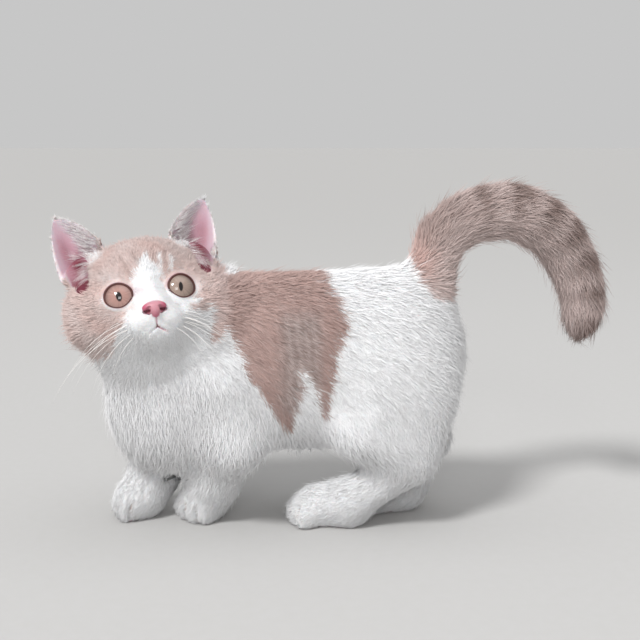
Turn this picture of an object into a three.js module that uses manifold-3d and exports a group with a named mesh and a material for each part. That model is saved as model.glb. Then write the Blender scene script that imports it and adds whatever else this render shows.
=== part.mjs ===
// A munchkin kitten, standing on four short legs with its head turned to its left and raised,
// and its tail arched up and over. Millimetres, +Z up, floor at z = 0. It faces -Y; its left is +X.
// The body is one blended form of soft masses, parted by thin cuts into head, neck, trunk and legs.
import * as THREE from "three";
import { mergeVertices } from "three/addons/utils/BufferGeometryUtils.js";
import Module from "manifold-3d";

const gap = 0.3; // between neighbouring pieces
// Edges up to the longest go where the surface moves by less than the bulge, and any below the least.
// A sliver is lower than its limit. No face may turn past the bend, a cosine, or get thinner than thin.
const thinning = { longest: 4.5, bulge: 0.075, least: 0.03, sliver: 0.02, thin: 0.4, bend: 0.9 };
const degrees = Math.PI / 180;
// How widely neighbouring masses run into each other.
const blends = { toes: 1.6, toesToPalm: 3, pawToLeg: 5, bones: 9, thighs: 4, leg: 9, tail: 12, snout: 7 };

// Trunk: soft masses from brisket to rump, each an egg with its centre and half sizes.
const trunk = {
  blend: 20,
  eggs: [
    { at: [3, -56, 72], size: [34, 37, 40], turn: [0, 0, 8] }, // chest
    { at: [2, -56, 52], size: [26, 28, 24] }, // brisket
    { at: [1, -23, 85], size: [37, 50, 45] }, // ribs
    { at: [1, 18, 77], size: [38, 48, 41] }, // belly
    { at: [1, 26, 104], size: [29, 46, 27] }, // loin
    { at: [1, 60, 86], size: [37, 38, 45] }, // rump
    { at: [2, -41, 111], size: [24, 28, 19] }, // withers
  ],
};
const neck = { from: [3, -48, 100], to: [13, -63, 107], thick: [32, 31], blend: 14 };

// Legs: joints from the trunk down to the paw, and the way each paw points, in degrees to the left.
const foreleg = { thick: [21, 15.5, 12.5], pawSize: [12.5, 14, 10.5], toeReach: 9 };
const hindleg = { thick: [15, 12, 11.5], pawSize: [12, 16, 10], toeReach: 11 };
const toe = { size: [4.3, 6.6, 6.6], up: 6, apart: 0.5, setBack: 1.3, splay: 7 };
const wristUp = 11;
const legs = {
  foreleg_left: { joints: [[24, -32, 78], [25, -23, 48], [7, -35.5, 20]], paw: [2.5, -40.5], turn: 38 },
  foreleg_right: { joints: [[-20, -58, 76], [-20, -54, 46], [-7, -68.5, 20]], paw: [-1.5, -75], turn: 10 },
  hindleg_left: { joints: [[28, 38, 52], [23, 67, 37], [16, 34, 12]], paw: [13, 19], turn: 8 },
  hindleg_right: { joints: [[-26, 41, 52], [-16, 80, 38], [-10, 66, 13]], paw: [-8, 57], turn: 2 },
};
const thighs = {
  left: { at: [23, 58, 70], size: [19, 33, 36], turn: [20, 0, 0] },
  right: { at: [-21, 61, 68], size: [19, 31, 37], turn: [10, 0, 0] },
};

// Tail: its middle line from inside the rump to the tip, and the half width along it.
const tail = {
  line: [
    [2, 71, 106], [2, 77, 125], [2, 79, 138], [2, 83, 148], [1, 93, 155], [0, 105, 159], [-1, 118, 160],
    [-3, 130, 156], [-5, 142, 148], [-7, 150, 137], [-8, 156, 125], [-9, 159, 113], [-10, 159, 102],
    [-10, 156, 91],
  ],
  thick: [13, 12.6, 13, 14, 14.8, 15, 14.4, 13.6, 12.6, 11.4],
  rounding: 0.9, // where along it the tip starts to round off
  lengths: 5,
  sides: 16,
};

// Head: its own frame has the same axes and looks along -Y, with the eyes level at z = 0.
const head = {
  at: [15, -66.5, 113.6],
  yaw: 99.5,
  pitch: 23,
  roll: -8,
  blend: 10,
  eggs: [
    { at: [0, 6, 9], size: [32, 34, 29.5] }, // skull
    { at: [0, -11, 8], size: [27, 17, 18] }, // brow
    { at: [0, -6, -13], size: [24, 22, 13.5] }, // jaw
  ],
  cheek: { at: [22.5, -1, -2], size: [19.5, 21, 22] },
  earRoot: { at: [24, 9, 23], size: [14, 9, 11] },
  region: { at: [0, -3, 5], size: [48, 46, 41] },
};
const muzzle = {
  blend: 7,
  pad: { at: [6.2, -28.8, -15.6], size: [7.6, 8.2, 6.6] },
  chin: { at: [0, -24.5, -20.5], size: [7.5, 8, 5.6] },
  bridge: { from: [0, -17, 3], to: [0, -33, -8], thick: [10, 6.2] },
};
const eye = {
  at: [13.5, -21.3, 0], radius: 9.2, splay: 10, rise: 2, width: 14.8, height: 13, slant: 6, lid: 1.1,
};
const nose = { at: [0, -37.6, -10.5], size: [6.2, 3.8, 4.6], foot: 0.36, brow: 0.76 };
// A nostril's place is in shares of the nose's half sizes.
const nostrils = { place: [0.52, 0.85, 0.1], radius: 1.1, size: [1.7, 1.6, 0.9], slant: 30 };
const mouth = { line: 0.8, top: -14, split: -18.2, droop: 0.3, corner: [6.6, -21.4] };
const ear = {
  height: 30, width: 32, fullness: 1.95, tipRound: 0.66, tip: 0.02, skew: 8, backward: 3.6,
  cup: 10, wall: 2.2, rim: 1.2, sunk: 7, slot: 0.5,
};
const earPose = {
  left: { at: [29, 8, 27.5], turn: [-6, 38, 20] },
  right: { at: [-26.5, 8, 27.5], turn: [-6, -37, -16] },
};

// Where the body is parted.
const cuts = {
  neck: { at: [8, -50, 96], way: [0.22, -0.55, 0.8] },
  chest: -6,
  rump: 36,
  pawTop: 22,
  foreleg: { radius: 18, length: 44, pawBlock: [29, 33, 30], pawAhead: 1.5 },
  hindleg: { radius: 18, length: 44, pawBlock: [38, 46, 30], pawAhead: 0 },
  upperArm: {
    left: { at: [31, -28, 64], size: [20, 20, 27], turn: [-8, 0, 0] },
    right: { at: [-28, -57, 62], size: [20, 20, 27], turn: [-8, 0, 0] },
  },
  thigh: {
    left: { at: [33, 59, 68], size: [22, 26, 32], turn: [15, 0, 0] },
    right: { at: [-33, 60, 68], size: [22, 26, 32], turn: [10, 0, 0] },
  },
  shank: {
    left: { at: [29, 49, 42], size: [18, 26, 17], turn: [-25, 0, 0] },
    right: { at: [-27, 58, 44], size: [18, 28, 17], turn: [-15, 0, 0] },
  },
  tailRoot: 0.135,
  tailFlare: 9,
  tailClear: 0.6,
};

// Boxes round the skins, and how fine each is: smaller steps for the face and the feet.
const fineFrom = (fine, coarse, start, end) => (v) => (v > start && v < end ? fine : coarse);
const grids = {
  whole: { low: [-58, -128, -9], high: [66, 120, 192], steps: [7, 7, 7] },
  head: {
    low: [-54, -50, -46],
    high: [54, 52, 52],
    steps: [fineFrom(3.3, 5, -20, 20), fineFrom(3.3, 6, -Infinity, -14), fineFrom(3.3, 5.4, -30, 9)],
  },
  leg: {
    aside: 32, ahead: 36, behind: 30, low: -6, high: 62,
    steps: [4, 4.3, fineFrom(3.5, 5.5, -Infinity, 15)],
  },
  tailRoot: { low: [-34, 46, 110], high: [38, 130, 192], steps: [4.6, 4.6, 4.6] },
};

const coat = (color) => ({ color, roughness: 0.95, metalness: 0 });
const looks = [
  [/^eye_/, { color: 0x8d7668, roughness: 0.12, metalness: 0 }],
  [/^nose$/, { color: 0xd58a86, roughness: 0.5, metalness: 0 }],
  [/^ear_/, coat(0xd9b3a8)],
  [/^(head|tail_\d)$/, coat(0xb9a399)],
  [/^belly$/, coat(0xc4b3ab)],
  [/./, coat(0xe9e4de)],
];

const wasm = await Module();
wasm.setup();

// three.js geometry as a solid that can be cut and joined, and back again.
function solidOf(geometry) {
  const plain = new THREE.BufferGeometry();
  plain.setAttribute("position", geometry.getAttribute("position").clone());
  if (geometry.index) plain.setIndex(geometry.index);
  const merged = mergeVertices(plain, 1e-4);
  const vertProperties = merged.attributes.position.array;
  const triVerts = new Uint32Array(merged.index.array);
  return new wasm.Manifold(new wasm.Mesh({ numProp: 3, vertProperties, triVerts }));
}

function geometryOf(solid) {
  const mesh = solid.getMesh();
  const points = [];
  for (let n = 0; n < mesh.vertProperties.length; n += 3) {
    points.push(new THREE.Vector3(...mesh.vertProperties.slice(n, n + 3)));
  }
  const faces = [];
  for (let n = 0; n < mesh.triVerts.length; n += 3) faces.push([...mesh.triVerts.slice(n, n + 3)]);
  const kept = thinned(points, faces);
  const geometry = new THREE.BufferGeometry();
  geometry.setAttribute("position", new THREE.Float32BufferAttribute(points.flatMap((q) => q.toArray()), 3));
  geometry.setIndex(kept.flat());
  return mergeVertices(geometry.toNonIndexed(), 1e-5);
}

// Cutting leaves many slivers. A point goes into its neighbour where the surface stays as it was.
function thinned(points, faces) {
  const around = points.map(() => new Set());
  faces.forEach((face) => face.forEach((v) => around[v].add(face)));
  const normalOf = ([a, b, c]) => {
    const across = points[b].clone().sub(points[a]);
    return across.cross(points[c].clone().sub(points[a]));
  };
  const linked = (v) => new Set([...around[v]].flat().filter((n) => n !== v));
  const sides = (face) => face.map((v, n) => points[v].distanceTo(points[face[(n + 1) % 3]]));
  const longestSide = (face) => Math.max(...sides(face));

  function canMove(v, to) {
    const shared = [...linked(v)].filter((n) => linked(to).has(n));
    if (shared.length !== 2) return false;
    if (points[v].distanceTo(points[to]) < thinning.least) return true;
    for (const face of around[v]) {
      const before = normalOf(face);
      const height = before.length() / longestSide(face);
      if (height > thinning.sliver) {
        const off = Math.abs(points[to].clone().sub(points[v]).dot(before.clone().normalize()));
        if (off > thinning.bulge) return false;
      }
      if (face.includes(to)) continue;
      const next = face.map((n) => (n === v ? to : n));
      const after = normalOf(next);
      if (after.length() / longestSide(next) < Math.min(height, thinning.thin)) return false;
      if (height > thinning.sliver && after.normalize().dot(before.normalize()) < thinning.bend) return false;
    }
    return true;
  }

  for (let moved = true; moved; ) {
    moved = false;
    for (let v = 0; v < points.length; v++) {
      if (!around[v].size) continue;
      const near = [...linked(v)].filter((n) => points[n].distanceTo(points[v]) < thinning.longest);
      near.sort((a, b) => points[a].distanceTo(points[v]) - points[b].distanceTo(points[v]));
      const to = near.find((n) => canMove(v, n));
      if (to === undefined) continue;
      for (const face of [...around[v]]) {
        if (face.includes(to)) {
          face.forEach((n) => around[n].delete(face));
          face.length = 0;
        } else {
          face[face.indexOf(v)] = to;
          around[to].add(face);
        }
      }
      around[v].clear();
      moved = true;
    }
  }
  return faces.filter((face) => face.length);
}

const turned = (turn = [0, 0, 0]) => new THREE.Euler(...turn.map((a) => a * degrees), "ZXY");

function placed(geometry, at, turn, size = [1, 1, 1]) {
  const spin = new THREE.Quaternion().setFromEuler(turned(turn));
  const frame = new THREE.Matrix4().compose(new THREE.Vector3(...at), spin, new THREE.Vector3(...size));
  return geometry.applyMatrix4(frame);
}

const ball = ({ at, size, turn }, grow = 0, detail = 2) =>
  solidOf(placed(new THREE.IcosahedronGeometry(1, detail), at, turn, size.map((s) => s + grow)));

// A block that starts at a point and runs the given way, to cut off all that lies beyond.
function beyond(from, way, wide, long, grow = 0) {
  const axis = new THREE.Vector3(...way).normalize();
  const across = wide + 2 * grow;
  const geometry = new THREE.BoxGeometry(across, across, long).translate(0, 0, long / 2 - grow);
  geometry.applyQuaternion(new THREE.Quaternion().setFromUnitVectors(new THREE.Vector3(0, 0, 1), axis));
  return solidOf(geometry.translate(...from));
}

// Rounded rod between two points.
function rod(a, b, radius) {
  const geometry = new THREE.CapsuleGeometry(radius, a.distanceTo(b), 2, 7);
  const way = b.clone().sub(a).normalize();
  geometry.applyQuaternion(new THREE.Quaternion().setFromUnitVectors(new THREE.Vector3(0, 1, 0), way));
  return geometry.translate(...a.clone().add(b).multiplyScalar(0.5).toArray());
}

// Soft masses: each function gives a point's distance outside the mass, below zero inside it.
function egg({ at, size: [a, b, c], turn }) {
  const spin = new THREE.Quaternion().setFromEuler(turned(turn));
  const frame = new THREE.Matrix4().compose(new THREE.Vector3(...at), spin, new THREE.Vector3(1, 1, 1));
  const inward = frame.invert();
  const q = new THREE.Vector3();
  return (p) => {
    q.copy(p).applyMatrix4(inward);
    const [x, y, z] = [q.x / a, q.y / b, q.z / c];
    const near = Math.sqrt(x * x + y * y + z * z);
    const slope = Math.sqrt((x / a) ** 2 + (y / b) ** 2 + (z / c) ** 2);
    return slope < 1e-9 ? -Math.min(a, b, c) : (near * (near - 1)) / slope;
  };
}

function limb({ from, to, thick }) {
  const a = new THREE.Vector3(...from);
  const along = new THREE.Vector3(...to).sub(a);
  const square = along.lengthSq();
  const q = new THREE.Vector3();
  return (p) => {
    q.copy(p).sub(a);
    const share = THREE.MathUtils.clamp(q.dot(along) / square, 0, 1);
    return q.addScaledVector(along, -share).length() - THREE.MathUtils.lerp(thick[0], thick[1], share);
  };
}

const melt = (a, b, width) => Math.min(a, b) - Math.max(width - Math.abs(a - b), 0) ** 2 / (4 * width);
const joined = (masses, width) => (p) => masses.reduce((sum, mass) => melt(sum, mass(p), width), 1e3);
const mirrored = (mass) => ({ ...mass, at: [-mass.at[0], mass.at[1], mass.at[2]] });

// Paw: a palm and four toes that spread a little, pointing down the local -Y.
function pawMasses(kind, { paw, turn }) {
  const [wide, , high] = kind.pawSize;
  const spin = new THREE.Quaternion().setFromEuler(turned([0, 0, turn]));
  const middle = new THREE.Vector3(...paw, 0);
  const local = (x, y, z) => new THREE.Vector3(x, y, z).applyQuaternion(spin).add(middle).toArray();
  const palm = egg({ at: local(0, 0, high - 1), size: kind.pawSize, turn: [0, 0, turn] });
  const toes = [-1.5, -0.5, 0.5, 1.5].map((place) => {
    const at = local(place * wide * toe.apart, place * place * toe.setBack - kind.toeReach, toe.up);
    return egg({ at, size: toe.size, turn: [0, 0, turn + place * toe.splay] });
  });
  return joined([palm, joined(toes, blends.toes)], blends.toesToPalm);
}

function legMass(kind, leg) {
  const ends = [...leg.joints, [...leg.paw, wristUp]];
  const bones = kind.thick.map((thick, i) => {
    const next = kind.thick[i + 1] ?? thick - 1;
    return limb({ from: ends[i], to: ends[i + 1], thick: [thick, next] });
  });
  const paw = pawMasses(kind, leg);
  const shaft = joined(bones, blends.bones);
  return (p) => melt(shaft(p), paw(p), blends.pawToLeg);
}

const tailPoints = tail.line.map((p) => new THREE.Vector3(...p));
const tailCurve = new THREE.CatmullRomCurve3(tailPoints, false, "centripetal");
function tailRadius(t) {
  const place = t * (tail.thick.length - 1);
  const i = Math.min(Math.floor(place), tail.thick.length - 2);
  const radius = THREE.MathUtils.lerp(tail.thick[i], tail.thick[i + 1], place - i);
  const tipShare = Math.max((t - tail.rounding) / (1 - tail.rounding), 0);
  return radius * Math.sqrt(1 - tipShare ** 2);
}
const tailSteps = [0, 0.08, 0.16, 0.24, 0.32, 0.4];
const tailBase = joined(
  tailSteps.slice(1).map((t, i) => {
    const ends = [tailSteps[i], t];
    const [from, to] = ends.map((u) => tailCurve.getPointAt(u).toArray());
    return limb({ from, to, thick: ends.map(tailRadius) });
  }),
  0.5,
);

// Head masses, worked out in the head's own frame.
const headFrame = new THREE.Matrix4().compose(
  new THREE.Vector3(...head.at),
  new THREE.Quaternion().setFromEuler(turned([-head.pitch, head.roll, head.yaw])),
  new THREE.Vector3(1, 1, 1),
);
const headInverse = headFrame.clone().invert();
const pair = (mass) => [mass, mirrored(mass)];
const skull = joined([...head.eggs, ...pair(head.cheek), ...pair(head.earRoot)].map(egg), head.blend);
const snout = joined([...[...pair(muzzle.pad), muzzle.chin].map(egg), limb(muzzle.bridge)], muzzle.blend);
const headMass = (q) => melt(skull(q), snout(q), blends.snout);

const trunkMass = joined(trunk.eggs.map(egg), trunk.blend);
const thighMass = joined([egg(thighs.left), egg(thighs.right)], blends.thighs);
const neckMass = limb(neck);
const kindOf = (name) => (name.startsWith("fore") ? foreleg : hindleg);
const legMasses = {};
for (const [name, leg] of Object.entries(legs)) legMasses[name] = legMass(kindOf(name), leg);
const allLegs = (p) => Math.min(...Object.values(legMasses).map((mass) => mass(p)));

// The whole animal but for the ears, the nose and the tail past its root, on the legs that are given.
const headPoint = new THREE.Vector3();
const bodyOn = (ownLegs) => (p) => {
  const flank = melt(trunkMass(p), thighMass(p), blends.leg);
  const hind = melt(melt(flank, ownLegs(p), blends.leg), tailBase(p), blends.tail);
  const front = melt(neckMass(p), headMass(headPoint.copy(p).applyMatrix4(headInverse)), neck.blend);
  return melt(hind, front, neck.blend);
};
const body = bodyOn(allLegs);

// Even triangle skin of a mass inside a box: one vertex for each cell that the surface crosses,
// eased towards its neighbours and drawn back onto the surface.
function skinOf(mass, { low, high, steps }) {
  const ticks = low.map((start, axis) => {
    const step = typeof steps[axis] === "function" ? steps[axis] : () => steps[axis];
    const list = [start];
    while (list.at(-1) < high[axis]) list.push(list.at(-1) + step(list.at(-1)));
    return list;
  });
  const [nx, ny, nz] = ticks.map((list) => list.length);
  const inset = ticks.map((list) => [(list[0] + list[1]) / 2, (list.at(-1) + list.at(-2)) / 2]);
  const closed = (p) => {
    const walls = [p.x, p.y, p.z].map((v, axis) => Math.max(inset[axis][0] - v, v - inset[axis][1]));
    return Math.max(mass(p), ...walls);
  };
  const at = (i, j, k) => (k * ny + j) * nx + i;
  const values = new Float64Array(nx * ny * nz);
  const p = new THREE.Vector3();
  for (let k = 0; k < nz; k++)
    for (let j = 0; j < ny; j++)
      for (let i = 0; i < nx; i++) {
        p.set(ticks[0][i], ticks[1][j], ticks[2][k]);
        values[at(i, j, k)] = closed(p) || 1e-9;
      }

  // Where two outside points face each other across a square, the skin would pinch: one joins the inside.
  const strides = [at(1, 0, 0), at(0, 1, 0), at(0, 0, 1)];
  for (let pinched = true; pinched; ) {
    pinched = false;
    for (let here = 0; here < values.length - strides[1] - strides[2]; here++)
      for (let axis = 0; axis < 3; axis++) {
        const [u, v] = [strides[(axis + 1) % 3], strides[(axis + 2) % 3]];
        const square = [here, here + u, here + u + v, here + v];
        const [a, b, c, d] = square.map((n) => values[n] < 0);
        if (a !== c || b !== d || a === b) continue;
        const [one, other] = a ? [square[1], square[3]] : [square[0], square[2]];
        values[values[one] < values[other] ? one : other] = -0.01;
        pinched = true;
      }
  }

  const corners = [0, 1, 2, 3, 4, 5, 6, 7].map((c) => [c & 1, (c >> 1) & 1, c >> 2]);
  const edges = corners.flatMap((a, i) =>
    corners.map((b, j) => [i, j]).filter(([, j]) => j > i && [1, 2, 4].includes(i ^ j)),
  );
  const vertexOf = new Map();
  const points = [];
  for (let k = 0; k < nz - 1; k++)
    for (let j = 0; j < ny - 1; j++)
      for (let i = 0; i < nx - 1; i++) {
        const value = corners.map(([a, b, c]) => values[at(i + a, j + b, k + c)]);
        const crossed = edges.filter(([a, b]) => value[a] < 0 !== value[b] < 0);
        if (!crossed.length) continue;
        const middle = new THREE.Vector3();
        for (const [a, b] of crossed) {
          const share = value[a] / (value[a] - value[b]);
          const [ca, cb] = [corners[a], corners[b]];
          const spot = [i, j, k].map((n, axis) =>
            THREE.MathUtils.lerp(ticks[axis][n + ca[axis]], ticks[axis][n + cb[axis]], share),
          );
          middle.add(p.set(...spot));
        }
        vertexOf.set(at(i, j, k), points.length);
        points.push(middle.divideScalar(crossed.length));
      }

  const quads = [];
  for (let k = 0; k < nz - 1; k++)
    for (let j = 0; j < ny - 1; j++)
      for (let i = 0; i < nx - 1; i++)
        for (let axis = 0; axis < 3; axis++) {
          const here = at(i, j, k);
          const inside = values[here] < 0;
          if (inside === values[here + strides[axis]] < 0) continue;
          const [u, v] = [strides[(axis + 1) % 3], strides[(axis + 2) % 3]];
          const ring = [here, here - u, here - u - v, here - v].map((cell) => vertexOf.get(cell));
          quads.push(inside ? ring : ring.reverse());
        }

  const neighbours = points.map(() => []);
  for (const quad of quads) quad.forEach((v, n) => neighbours[v].push(quad[(n + 1) % 4]));
  const slope = new THREE.Vector3();
  const nudge = 0.01;
  const gradient = (q) => {
    const parts = ["x", "y", "z"].map((axis) => {
      const [ahead, behind] = [q.clone(), q.clone()];
      ahead[axis] += nudge;
      behind[axis] -= nudge;
      return (closed(ahead) - closed(behind)) / (2 * nudge);
    });
    return slope.set(...parts);
  };
  for (let pass = 0; pass < 4; pass++) {
    const eased = points.map((q, n) => {
      const middle = neighbours[n].reduce((sum, m) => sum.add(points[m]), new THREE.Vector3());
      return middle.divideScalar(neighbours[n].length).lerp(q, 0.5);
    });
    eased.forEach((q, n) => {
      for (let pull = 0; pull < 2; pull++) {
        const way = gradient(q);
        q.addScaledVector(way, -closed(q) / Math.max(way.lengthSq(), 0.25));
      }
      points[n] = q;
    });
  }
  const triangles = quads.flatMap(([a, b, c, d]) => {
    const shorter = points[a].distanceTo(points[c]) < points[b].distanceTo(points[d]);
    return shorter ? [a, b, c, a, c, d] : [a, b, d, b, c, d];
  });
  const geometry = new THREE.BufferGeometry();
  geometry.setAttribute("position", new THREE.Float32BufferAttribute(points.flatMap((q) => q.toArray()), 3));
  geometry.setIndex(triangles);
  return geometry;
}

// Cutting shapes. Each can grow, so that the neighbour stands back by the gap.
const oneBody = (solid) => solid.decompose().sort((a, b) => b.volume() - a.volume())[0];
const inHeadFrame = (geometry) => geometry.applyMatrix4(headFrame);
const headZone = (grow = 0) => {
  const { at, size } = head.region;
  const region = placed(new THREE.IcosahedronGeometry(1, 4), at, [0, 0, 0], size.map((v) => v + grow));
  return solidOf(inHeadFrame(region));
};
const zones = {
  neck: (grow = 0) => beyond(cuts.neck.at, cuts.neck.way, 160, 90, grow),
  chest: (grow = 0) => beyond([0, cuts.chest, 80], [0, -1, 0], 220, 160, grow),
  rump: (grow = 0) => beyond([0, cuts.rump, 80], [0, 1, 0], 220, 160, grow),
};

function stub(from, to, radius, length, grow = 0) {
  const geometry = new THREE.CylinderGeometry(radius + grow, radius + grow, length + grow, 18);
  geometry.translate(0, (length - grow) / 2, 0);
  const a = new THREE.Vector3(...from);
  const way = new THREE.Vector3(...to).sub(a).normalize();
  geometry.applyQuaternion(new THREE.Quaternion().setFromUnitVectors(new THREE.Vector3(0, 1, 0), way));
  return solidOf(geometry.translate(...from));
}

// All of a leg below its elbow, or below its hock: a stub along the bone and a block round the paw.
function lowerLegZone(name, grow = 0) {
  const { joints, paw, turn } = legs[name];
  const { radius, length, pawBlock, pawAhead } = name.startsWith("fore") ? cuts.foreleg : cuts.hindleg;
  const [wide, long, high] = pawBlock.map((size) => size + 2 * grow);
  const block = new THREE.BoxGeometry(wide, long, high).translate(0, -pawAhead, pawBlock[2] / 2 - 6);
  const shaft = stub(joints[1], joints[2], radius, length, grow);
  return shaft.add(solidOf(placed(block, [...paw, 0], [0, 0, turn])));
}

// Tail lengths: straight-sided drums bent along the middle line.
function tailLength(start, end, grow = 0, rings = 5) {
  const geometry = new THREE.CylinderGeometry(1, 1, 1, tail.sides, rings);
  const position = geometry.getAttribute("position");
  const side = new THREE.Vector3(1, 0, 0);
  for (let n = 0; n < position.count; n++) {
    const t = THREE.MathUtils.lerp(start, end, position.getY(n) + 0.5);
    const along = tailCurve.getTangentAt(t);
    const across = side.clone().addScaledVector(along, -side.dot(along)).normalize();
    const out = new THREE.Vector3().crossVectors(across, along);
    const radius = tailRadius(t) + grow;
    const spot = tailCurve.getPointAt(t);
    spot.addScaledVector(across, position.getX(n) * radius).addScaledVector(out, position.getZ(n) * radius);
    position.setXYZ(n, ...spot.toArray());
  }
  return solidOf(geometry);
}

const wholeSkin = solidOf(skinOf(body, grids.whole));
const headBody = (q) => body(new THREE.Vector3().copy(q).applyMatrix4(headFrame));
const headSkin = solidOf(inHeadFrame(skinOf(headBody, grids.head)));

// Ear: a sheet rolled into a cup, thick at the root and thin along the rim.
function earShell(side, grow = 0) {
  const geometry = new THREE.BoxGeometry(2, 1, 1, 10, 1, 8);
  const position = geometry.getAttribute("position");
  for (let n = 0; n < position.count; n++) {
    const [across, deep] = [position.getX(n), position.getY(n)];
    const up = position.getZ(n) + 0.5;
    const half = (ear.width / 2) * Math.max(1 - up ** ear.fullness, ear.tip) ** ear.tipRound + grow;
    const roll = ear.cup * (1 - up ** 2);
    const wall = THREE.MathUtils.lerp(ear.wall, ear.rim, Math.max(up ** 2, across ** 4)) + 2 * grow;
    const back = roll * (1 - across * across) - ear.backward * up * up;
    const rise = up * (ear.height + ear.sunk + 2 * grow) - ear.sunk - grow;
    const lean = ear.skew * (rise / ear.height) * (side === "left" ? -1 : 1);
    position.setXYZ(n, across * half + lean, back + deep * wall, rise);
  }
  return solidOf(inHeadFrame(placed(geometry, earPose[side].at, earPose[side].turn)));
}

const solids = {};
const earSlots = earShell("left", ear.slot).add(earShell("right", ear.slot));
const rest = { skin: wholeSkin.subtract(headZone(gap)).subtract(earSlots) };
const take = (name, zone) => {
  solids[name] = oneBody(rest.skin.intersect(zone(0)));
  rest.skin = rest.skin.subtract(zone(gap));
};

// Each leg's skin comes from its own mass. Above the paws it gives way to the legs before it.
const floorPlane = [[0, 0, 1], 0];
let legZones = null;
for (const [name, leg] of Object.entries(legs)) {
  const [kind, side] = name.split("_");
  const xs = [...leg.joints.map((p) => p[0]), leg.paw[0]];
  const ys = [...leg.joints.map((p) => p[1]), leg.paw[1]];
  const { aside, ahead, behind, steps } = grids.leg;
  const low = [Math.min(...xs) - aside, Math.min(...ys) - ahead, grids.leg.low];
  const high = [Math.max(...xs) + aside, Math.max(...ys) + behind, grids.leg.high];
  const skin = solidOf(skinOf(bodyOn(legMasses[name]), { low, high, steps })).trimByPlane(...floorPlane);
  const whole = skin.intersect(lowerLegZone(name));
  const lower = legZones ? whole.subtract(legZones.trimByPlane([0, 0, 1], cuts.pawTop)) : whole;
  legZones = legZones ? legZones.add(lowerLegZone(name, gap)) : lowerLegZone(name, gap);
  if (kind === "foreleg") {
    const wrist = new THREE.Vector3(...leg.joints[2]);
    const way = new THREE.Vector3(leg.paw[0], leg.paw[1], 0).sub(wrist).normalize();
    const pawZone = (grow) => beyond(wrist.toArray(), way.toArray(), 70, 60, grow);
    solids[`forepaw_${side}`] = oneBody(lower.intersect(pawZone(0)));
    solids[`forearm_${side}`] = oneBody(lower.subtract(pawZone(gap)));
  } else {
    solids[`hindpaw_${side}`] = oneBody(lower);
  }
}

rest.skin = rest.skin.subtract(legZones);
for (const side of ["left", "right"]) {
  take(`upper_arm_${side}`, (grow) => ball(cuts.upperArm[side], grow));
  take(`shank_${side}`, (grow) => ball(cuts.shank[side], grow));
  take(`thigh_${side}`, (grow) => ball(cuts.thigh[side], grow));
}
take("neck", zones.neck);
take("chest", zones.chest);
const tailGap = gap / tailCurve.getLength();
const tailSpan = (1 - cuts.tailRoot) / tail.lengths;
const tailRootSkin = solidOf(skinOf(body, grids.tailRoot));
const tailRootZone = tailLength(cuts.tailRoot, cuts.tailRoot + tailSpan - tailGap, cuts.tailFlare);
rest.skin = rest.skin.subtract(tailLength(cuts.tailRoot - tailGap, cuts.tailClear, cuts.tailFlare + gap, 12));
take("rump", zones.rump);
solids.belly = oneBody(rest.skin);

solids.tail_1 = oneBody(tailRootSkin.intersect(tailRootZone));
for (let n = 1; n < tail.lengths; n++) {
  const start = cuts.tailRoot + n * tailSpan;
  const end = n === tail.lengths - 1 ? 0.99 : start + tailSpan - tailGap;
  solids[`tail_${n + 1}`] = tailLength(start, end);
}

// Eyes: a ball in a socket, seen between lids that open in an almond.
function eyeSpot(side) {
  const sign = side === "left" ? 1 : -1;
  const at = [sign * eye.at[0], eye.at[1], eye.at[2]];
  return { sign, at, turn: [-eye.rise, 0, sign * eye.splay] };
}

function almond(side) {
  const { sign, at, turn } = eyeSpot(side);
  const shape = new THREE.Shape();
  const [w, h] = [eye.width / 2, eye.height / 2];
  shape.moveTo(-w, -0.6);
  shape.bezierCurveTo(-w * 0.75, h * 0.95, -w * 0.3, h * 1.02, 0, h);
  shape.bezierCurveTo(w * 0.55, h * 0.98, w * 0.95, h * 0.55, w, 0.8);
  shape.bezierCurveTo(w * 0.85, -h * 0.7, w * 0.45, -h, 0, -h);
  shape.bezierCurveTo(-w * 0.4, -h, -w * 0.8, -h * 0.6, -w, -0.6);
  const geometry = new THREE.ExtrudeGeometry(shape, { depth: 24, bevelEnabled: false, curveSegments: 5 });
  geometry.rotateX(90 * degrees);
  if (sign < 0) geometry.rotateZ(Math.PI).rotateX(Math.PI);
  geometry.rotateY(-sign * eye.slant * degrees);
  return solidOf(inHeadFrame(placed(geometry, at, turn)));
}

const eyeBall = (side, grow = 0) => {
  const { at, turn } = eyeSpot(side);
  return solidOf(inHeadFrame(placed(new THREE.IcosahedronGeometry(eye.radius + grow, 3), at, turn)));
};

// Lines on the face follow its surface.
function onFace(x, z) {
  const q = new THREE.Vector3(x, -60, z);
  while (headMass(q) > 0.02 && q.y < 0) q.y += Math.max(headMass(q) * 0.6, 0.02);
  return q.toArray();
}
function groove(spots, radius) {
  const points = spots.map(([x, z]) => new THREE.Vector3(...onFace(x, z)));
  const rods = points.slice(1).map((point, i) => solidOf(inHeadFrame(rod(points[i], point, radius))));
  return rods.reduce((sum, next) => sum.add(next));
}

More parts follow.
